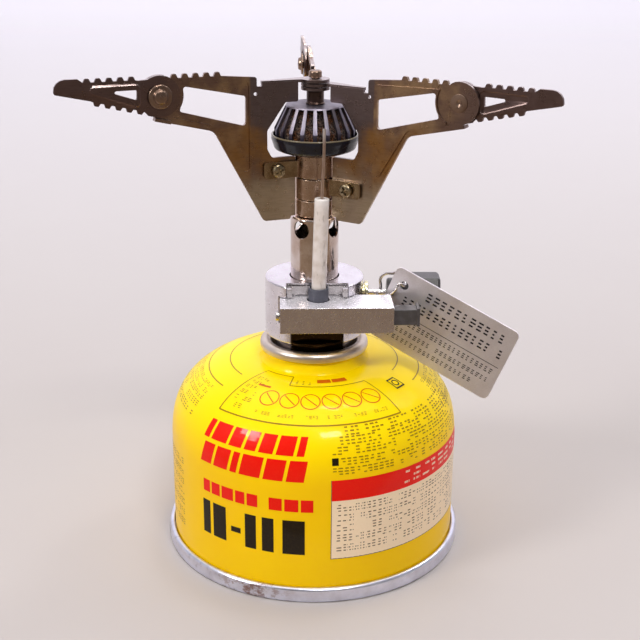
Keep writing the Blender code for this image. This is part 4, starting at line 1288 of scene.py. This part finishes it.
def make_plate(side, spec, turn, screw_z):
    """The inner plate of a support, with its ear and its tab."""
    node = side + "_support_plate"
    screw_hole = circle((HINGE_SCREW_R, screw_z), HINGE_HOLE_R, 24)
    holes = [circle(PIVOT, RIVET_HOLE_R, 32), screw_hole, circle((17.6, 137.6), 0.5, 16)]
    outline = plate_outline(spec["ear_z"], box_mm(node)[0].z)
    plate = moved(stamped(outline, holes, panel_outline(), window_outline(), PANEL_STEP, PLATE_T), upright())
    ear = sheet([ear_outline(spec["ear_side"]), circle((0, 0), 1.3, 32)], EAR_T)
    tab = block((-4.2, -0.4, -TAB_FAR + 0.03), (0.27, 2.2, -TAB_NEAR))
    slope = at(PIVOT[0], 0, PIVOT[1]) @ Matrix.Rotation(math.radians(-ARM_SLOPE), 4, "Y")
    plate = joined(plate, (ear, at(0, 0, spec["ear_z"] + EAR_T / 2)), (tab, slope))
    piece(side + "_plate", moved(softened(plate, EDGE, 2, 40), turn), "heat_steel", node)


def make_hinge(side, spec, turn, screw_z):
    """The strap round the stem that carries a plate, with its screw and nut."""
    node = side + "_hinge_band"
    low, high = box_mm(node)
    leaf_half = 2.35
    ring = [(5.0, high.z, 0), (5.7, high.z, 0.15), (5.7, low.z, 0.15), (5.0, low.z, 0)]
    band = cut(lathe(ring, 64), (block((3.0, -0.8, low.z - 1), (8.0, 0.8, high.z + 1)), HERE))
    leaf_shape = [(5.25, -leaf_half, 0), (15.6, -leaf_half, 1.1), (15.6, leaf_half, 1.1)]
    leaf_shape += [(5.25, leaf_half, 0)]
    leaf_hole = circle((HINGE_SCREW_R, 0), HINGE_HOLE_R, 24)
    leaves = []
    for edge in (-1.5, 0.8):
        blank = moved(sheet([rounded(leaf_shape), leaf_hole], 0.7), upright())
        leaves.append((blank, at(0, edge + 0.35, screw_z)))
    band = joined(band, *leaves)
    piece(side + "_strap", moved(softened(band, 0.14, 2, 50), turn), "strap_steel", node)

    screw = [(0, 3.2, 0), (1.9, 2.9, 0.5), (1.9, 1.8, 0.1), (0.9, 1.8, 0), (0.9, -3.2, 0.1), (0, -3.2, 0)]
    screw = crossed(lathe(screw, 40), 1.25, 0.3, 2.3, 3.5)
    line = at(HINGE_SCREW_R, 0, screw_z) @ along((0, spec["screw_side"], 0))
    piece(side + "_screw", moved(screw, turn @ line @ turn_z(25)), "screw_brass", side + "_hinge_screw")
    nut = softened(turned([(1.15, 3.3), (2.1, 3.3), (2.1, 1.8), (1.15, 1.8)], 6), 0.15, 2, 30)
    line = at(HINGE_SCREW_R, 0, screw_z) @ along((0, -spec["screw_side"], 0))
    piece(side + "_nut", moved(nut, turn @ line), "plain_steel", side + "_hinge_nut")


def make_arm(side, turn):
    """The folding arm of a support and its rivet."""
    arm = sheet([arm_outline(), widened(arm_panel(), LEDGE_W / 2), circle(PIVOT, RIVET_HOLE_R, 32)], ARM_T)
    wall = ledge(arm_panel(), -PANEL_STEP, ARM_T)
    panel = sheet([arm_panel(), arm_window()], ARM_T)
    arm = joined(arm, (wall, HERE))
    arm = joined(arm, (panel, at(0, 0, -PANEL_STEP)))
    arm = moved(softened(arm, EDGE, 2, 40), turn @ at(0, 1.15, 0) @ upright())
    piece(side + "_arm_blade", arm, "arm_steel", side + "_outer_arm")
    rivet = [(0, 3.5, 0), (1.7, 3.35, 0.5), (2.1, 2.5, 0.1), (3.3, 2.5, 0.4), (3.3, 1.9, 0.05), (1.5, 1.9, 0)]
    rivet += [(1.5, -0.54, 0), (2.4, -0.54, 0), (2.4, -0.7, 0.06), (0.9, -0.7, 0.1)]
    rivet += [(0.55, -0.5, 0), (0, -0.2, 0)]
    line = at(PIVOT[0], 0, PIVOT[1]) @ along((0, 1, 0))
    piece(side + "_rivet", moved(lathe(rivet, 48), turn @ line), "brown_steel", side + "_arm_rivet")


def make_support(side, spec):
    pivot = Vector(joint_of[side + "_arm_fold"]["pos_m"])
    turn = turn_z(math.degrees(math.atan2(pivot.y, pivot.x)))
    screw_low, screw_high = box_mm(side + "_hinge_screw")
    screw_z = (screw_low.z + screw_high.z) / 2
    make_plate(side, spec, turn, screw_z)
    make_hinge(side, spec, turn, screw_z)
    make_arm(side, turn)


# ---------------------------------------------------------------- carried-over nodes, stage and light


INNER_LOOKS = {
    "valve_housing": "slate_plastic",
    "valve_gasket": "black_rubber",
    "valve_stem": "valve_brass",
    "valve_spring": "plain_steel",
    "adapter_o_ring": "black_rubber",
    "actuator_pin": "plain_steel",
    "jet_nozzle": "valve_brass",
    "piezo_crystal": "glazed_ceramic",
    "piezo_hammer": "plain_steel",
    "button_spring": "plain_steel",
}


def dress_inner_nodes():
    for node, look in INNER_LOOKS.items():
        mesh = frame["nodes"][node].data
        mesh.materials.clear()
        mesh.materials.append(looks[look])


def make_stage():
    """A pale floor that sweeps up into a backdrop, far behind the stove."""
    reach, back, bend, top = 3.0, 2.2, 0.7, 3.0
    profile = [(-reach, 0.0)] + arc((back - bend, bend), bend, -90, 0, 12) + [(back, top)]
    shape = bmesh.new()
    rows = [[shape.verts.new((side * reach, y, z)) for side in (-1, 1)] for y, z in profile]
    for first, second in zip(rows, rows[1:]):
        shape.faces.new((first[0], first[1], second[1], second[0]))
    mesh = as_mesh(shape, "floor")
    mesh.shade_smooth()
    look = Look("floor_paint", Roughness=0.7, Emission_Strength=1.0)
    _, y, z = look.axes()
    shade = look.mixed(look.noise(0.01, 3.0), srgb(178, 170, 168), srgb(182, 175, 172))
    away = look.ranged(y, 60.0, 1700.0)
    look.colour(look.mixed(away, shade, srgb(246, 243, 250)))
    glow = look.mixed(away, (0.0, 0.0, 0.0, 1.0), (0.26, 0.25, 0.28, 1.0))
    glow = look.mixed(look.ranged(z, 60.0, 600.0), glow, (0.62, 0.60, 0.66, 1.0))
    look.drive("Emission Color", glow)
    mesh.materials.append(looks["floor_paint"])
    placed("floor", mesh)


def make_front_card():
    """A warm dark card in front that glows by itself, and that only the polished metal mirrors: a painted
    reflection of a lit floor.
    """
    shape = bmesh.new()
    half, near, far, lift = 0.7, -0.075, -0.9, 0.002
    spots = ((-half, far), (half, far), (half, near), (-half, near))
    shape.faces.new([shape.verts.new((x, y, lift)) for x, y in spots])
    mesh = as_mesh(shape, "front_card")
    look = Look("card_glow", Roughness=0.9, Specular_IOR_Level=0.0, Emission_Strength=1.0)
    y = look.axes()[1]
    look.colour(look.mixed(look.noise(0.01, 2.0), srgb(10, 8, 6), srgb(14, 11, 8)))
    # Painted reflection: the card's glow, brighter and warmer near the stove, shows only in the polished metal
    glow = look.mixed(look.ranged(y, -80.0, -800.0), (0.33, 0.25, 0.18, 1.0), (0.20, 0.15, 0.11, 1.0))
    look.drive("Emission Color", glow)
    mesh.materials.append(looks["card_glow"])
    card = placed("front_card", mesh)
    card.visible_camera = False
    card.visible_diffuse = False
    card.visible_shadow = False


def make_light(name, place, size, power, colour=(1.0, 1.0, 1.0)):
    data = bpy.data.lights.new(name, "AREA")
    data.shape = "RECTANGLE"
    data.size, data.size_y = size
    data.energy = power
    data.color = colour
    light = placed(name, data)
    light.location = place
    light.rotation_mode = "QUATERNION"
    light.rotation_quaternion = (LIGHT_AIM - Vector(place)).to_track_quat("-Z", "Y")


def make_world():
    """Soft daylight: bright overhead and behind, dimmer in front."""
    world = bpy.data.worlds.new("studio")
    world.use_nodes = True
    bpy.context.scene.world = world
    tree = world.node_tree
    place = tree.nodes.new("ShaderNodeTexCoord")
    axes = tree.nodes.new("ShaderNodeSeparateXYZ")
    tree.links.new(place.outputs["Generated"], axes.inputs[0])
    behind = tree.nodes.new("ShaderNodeMapRange")
    tree.links.new(axes.outputs["Y"], behind.inputs[0])
    for index, value in ((1, -0.7), (2, 0.6), (3, 0.0), (4, 1.0)):
        behind.inputs[index].default_value = value
    mix = tree.nodes.new("ShaderNodeMix")
    mix.data_type = "RGBA"
    mix.inputs[6].default_value = (0.20, 0.19, 0.19, 1.0)
    mix.inputs[7].default_value = (0.80, 0.79, 0.86, 1.0)
    tree.links.new(behind.outputs[0], mix.inputs[0])
    background = tree.nodes["Background"]
    tree.links.new(mix.outputs[2], background.inputs["Color"])
    background.inputs["Strength"].default_value = 0.8


def make_camera():
    data = bpy.data.cameras.new("camera")
    data.sensor_width = 36.0
    data.lens = CAMERA_LENS
    data.clip_start = 0.01
    data.clip_end = 20.0
    camera = placed("camera", data)
    turn = turn_z(math.degrees(-CAMERA_PAN)) @ Matrix.Rotation(math.pi / 2 - CAMERA_PITCH, 4, "X")
    camera.matrix_world = at(*CAMERA_PLACE) @ turn @ turn_z(math.degrees(CAMERA_ROLL))
    bpy.context.scene.camera = camera


make_looks()
make_canister()
make_prints()
make_body()
make_head()
make_valve()
make_igniter()
make_tag()
for side, spec in SUPPORTS.items():
    make_support(side, spec)
dress_inner_nodes()

make_stage()
make_front_card()
make_light("lamp_left", (-0.93, -0.58, 0.75), (0.32, 0.22), 6.8, (1.0, 0.99, 0.97))
make_light("lamp_right", (0.26, -0.78, 1.06), (0.32, 0.22), 6.8, (1.0, 0.99, 0.97))
make_light("lamp_top", (0.19, 0.27, 1.31), (0.22, 0.22), 2.0)
make_light("lamp_back", (0.76, 0.54, 0.96), (0.22, 0.22), 2.0)
make_light("overhead", (-0.15, 0.1, 1.5), (1.6, 1.6), 11.0)
make_world()
make_camera()
bpy.context.scene.view_settings.view_transform = "Standard"
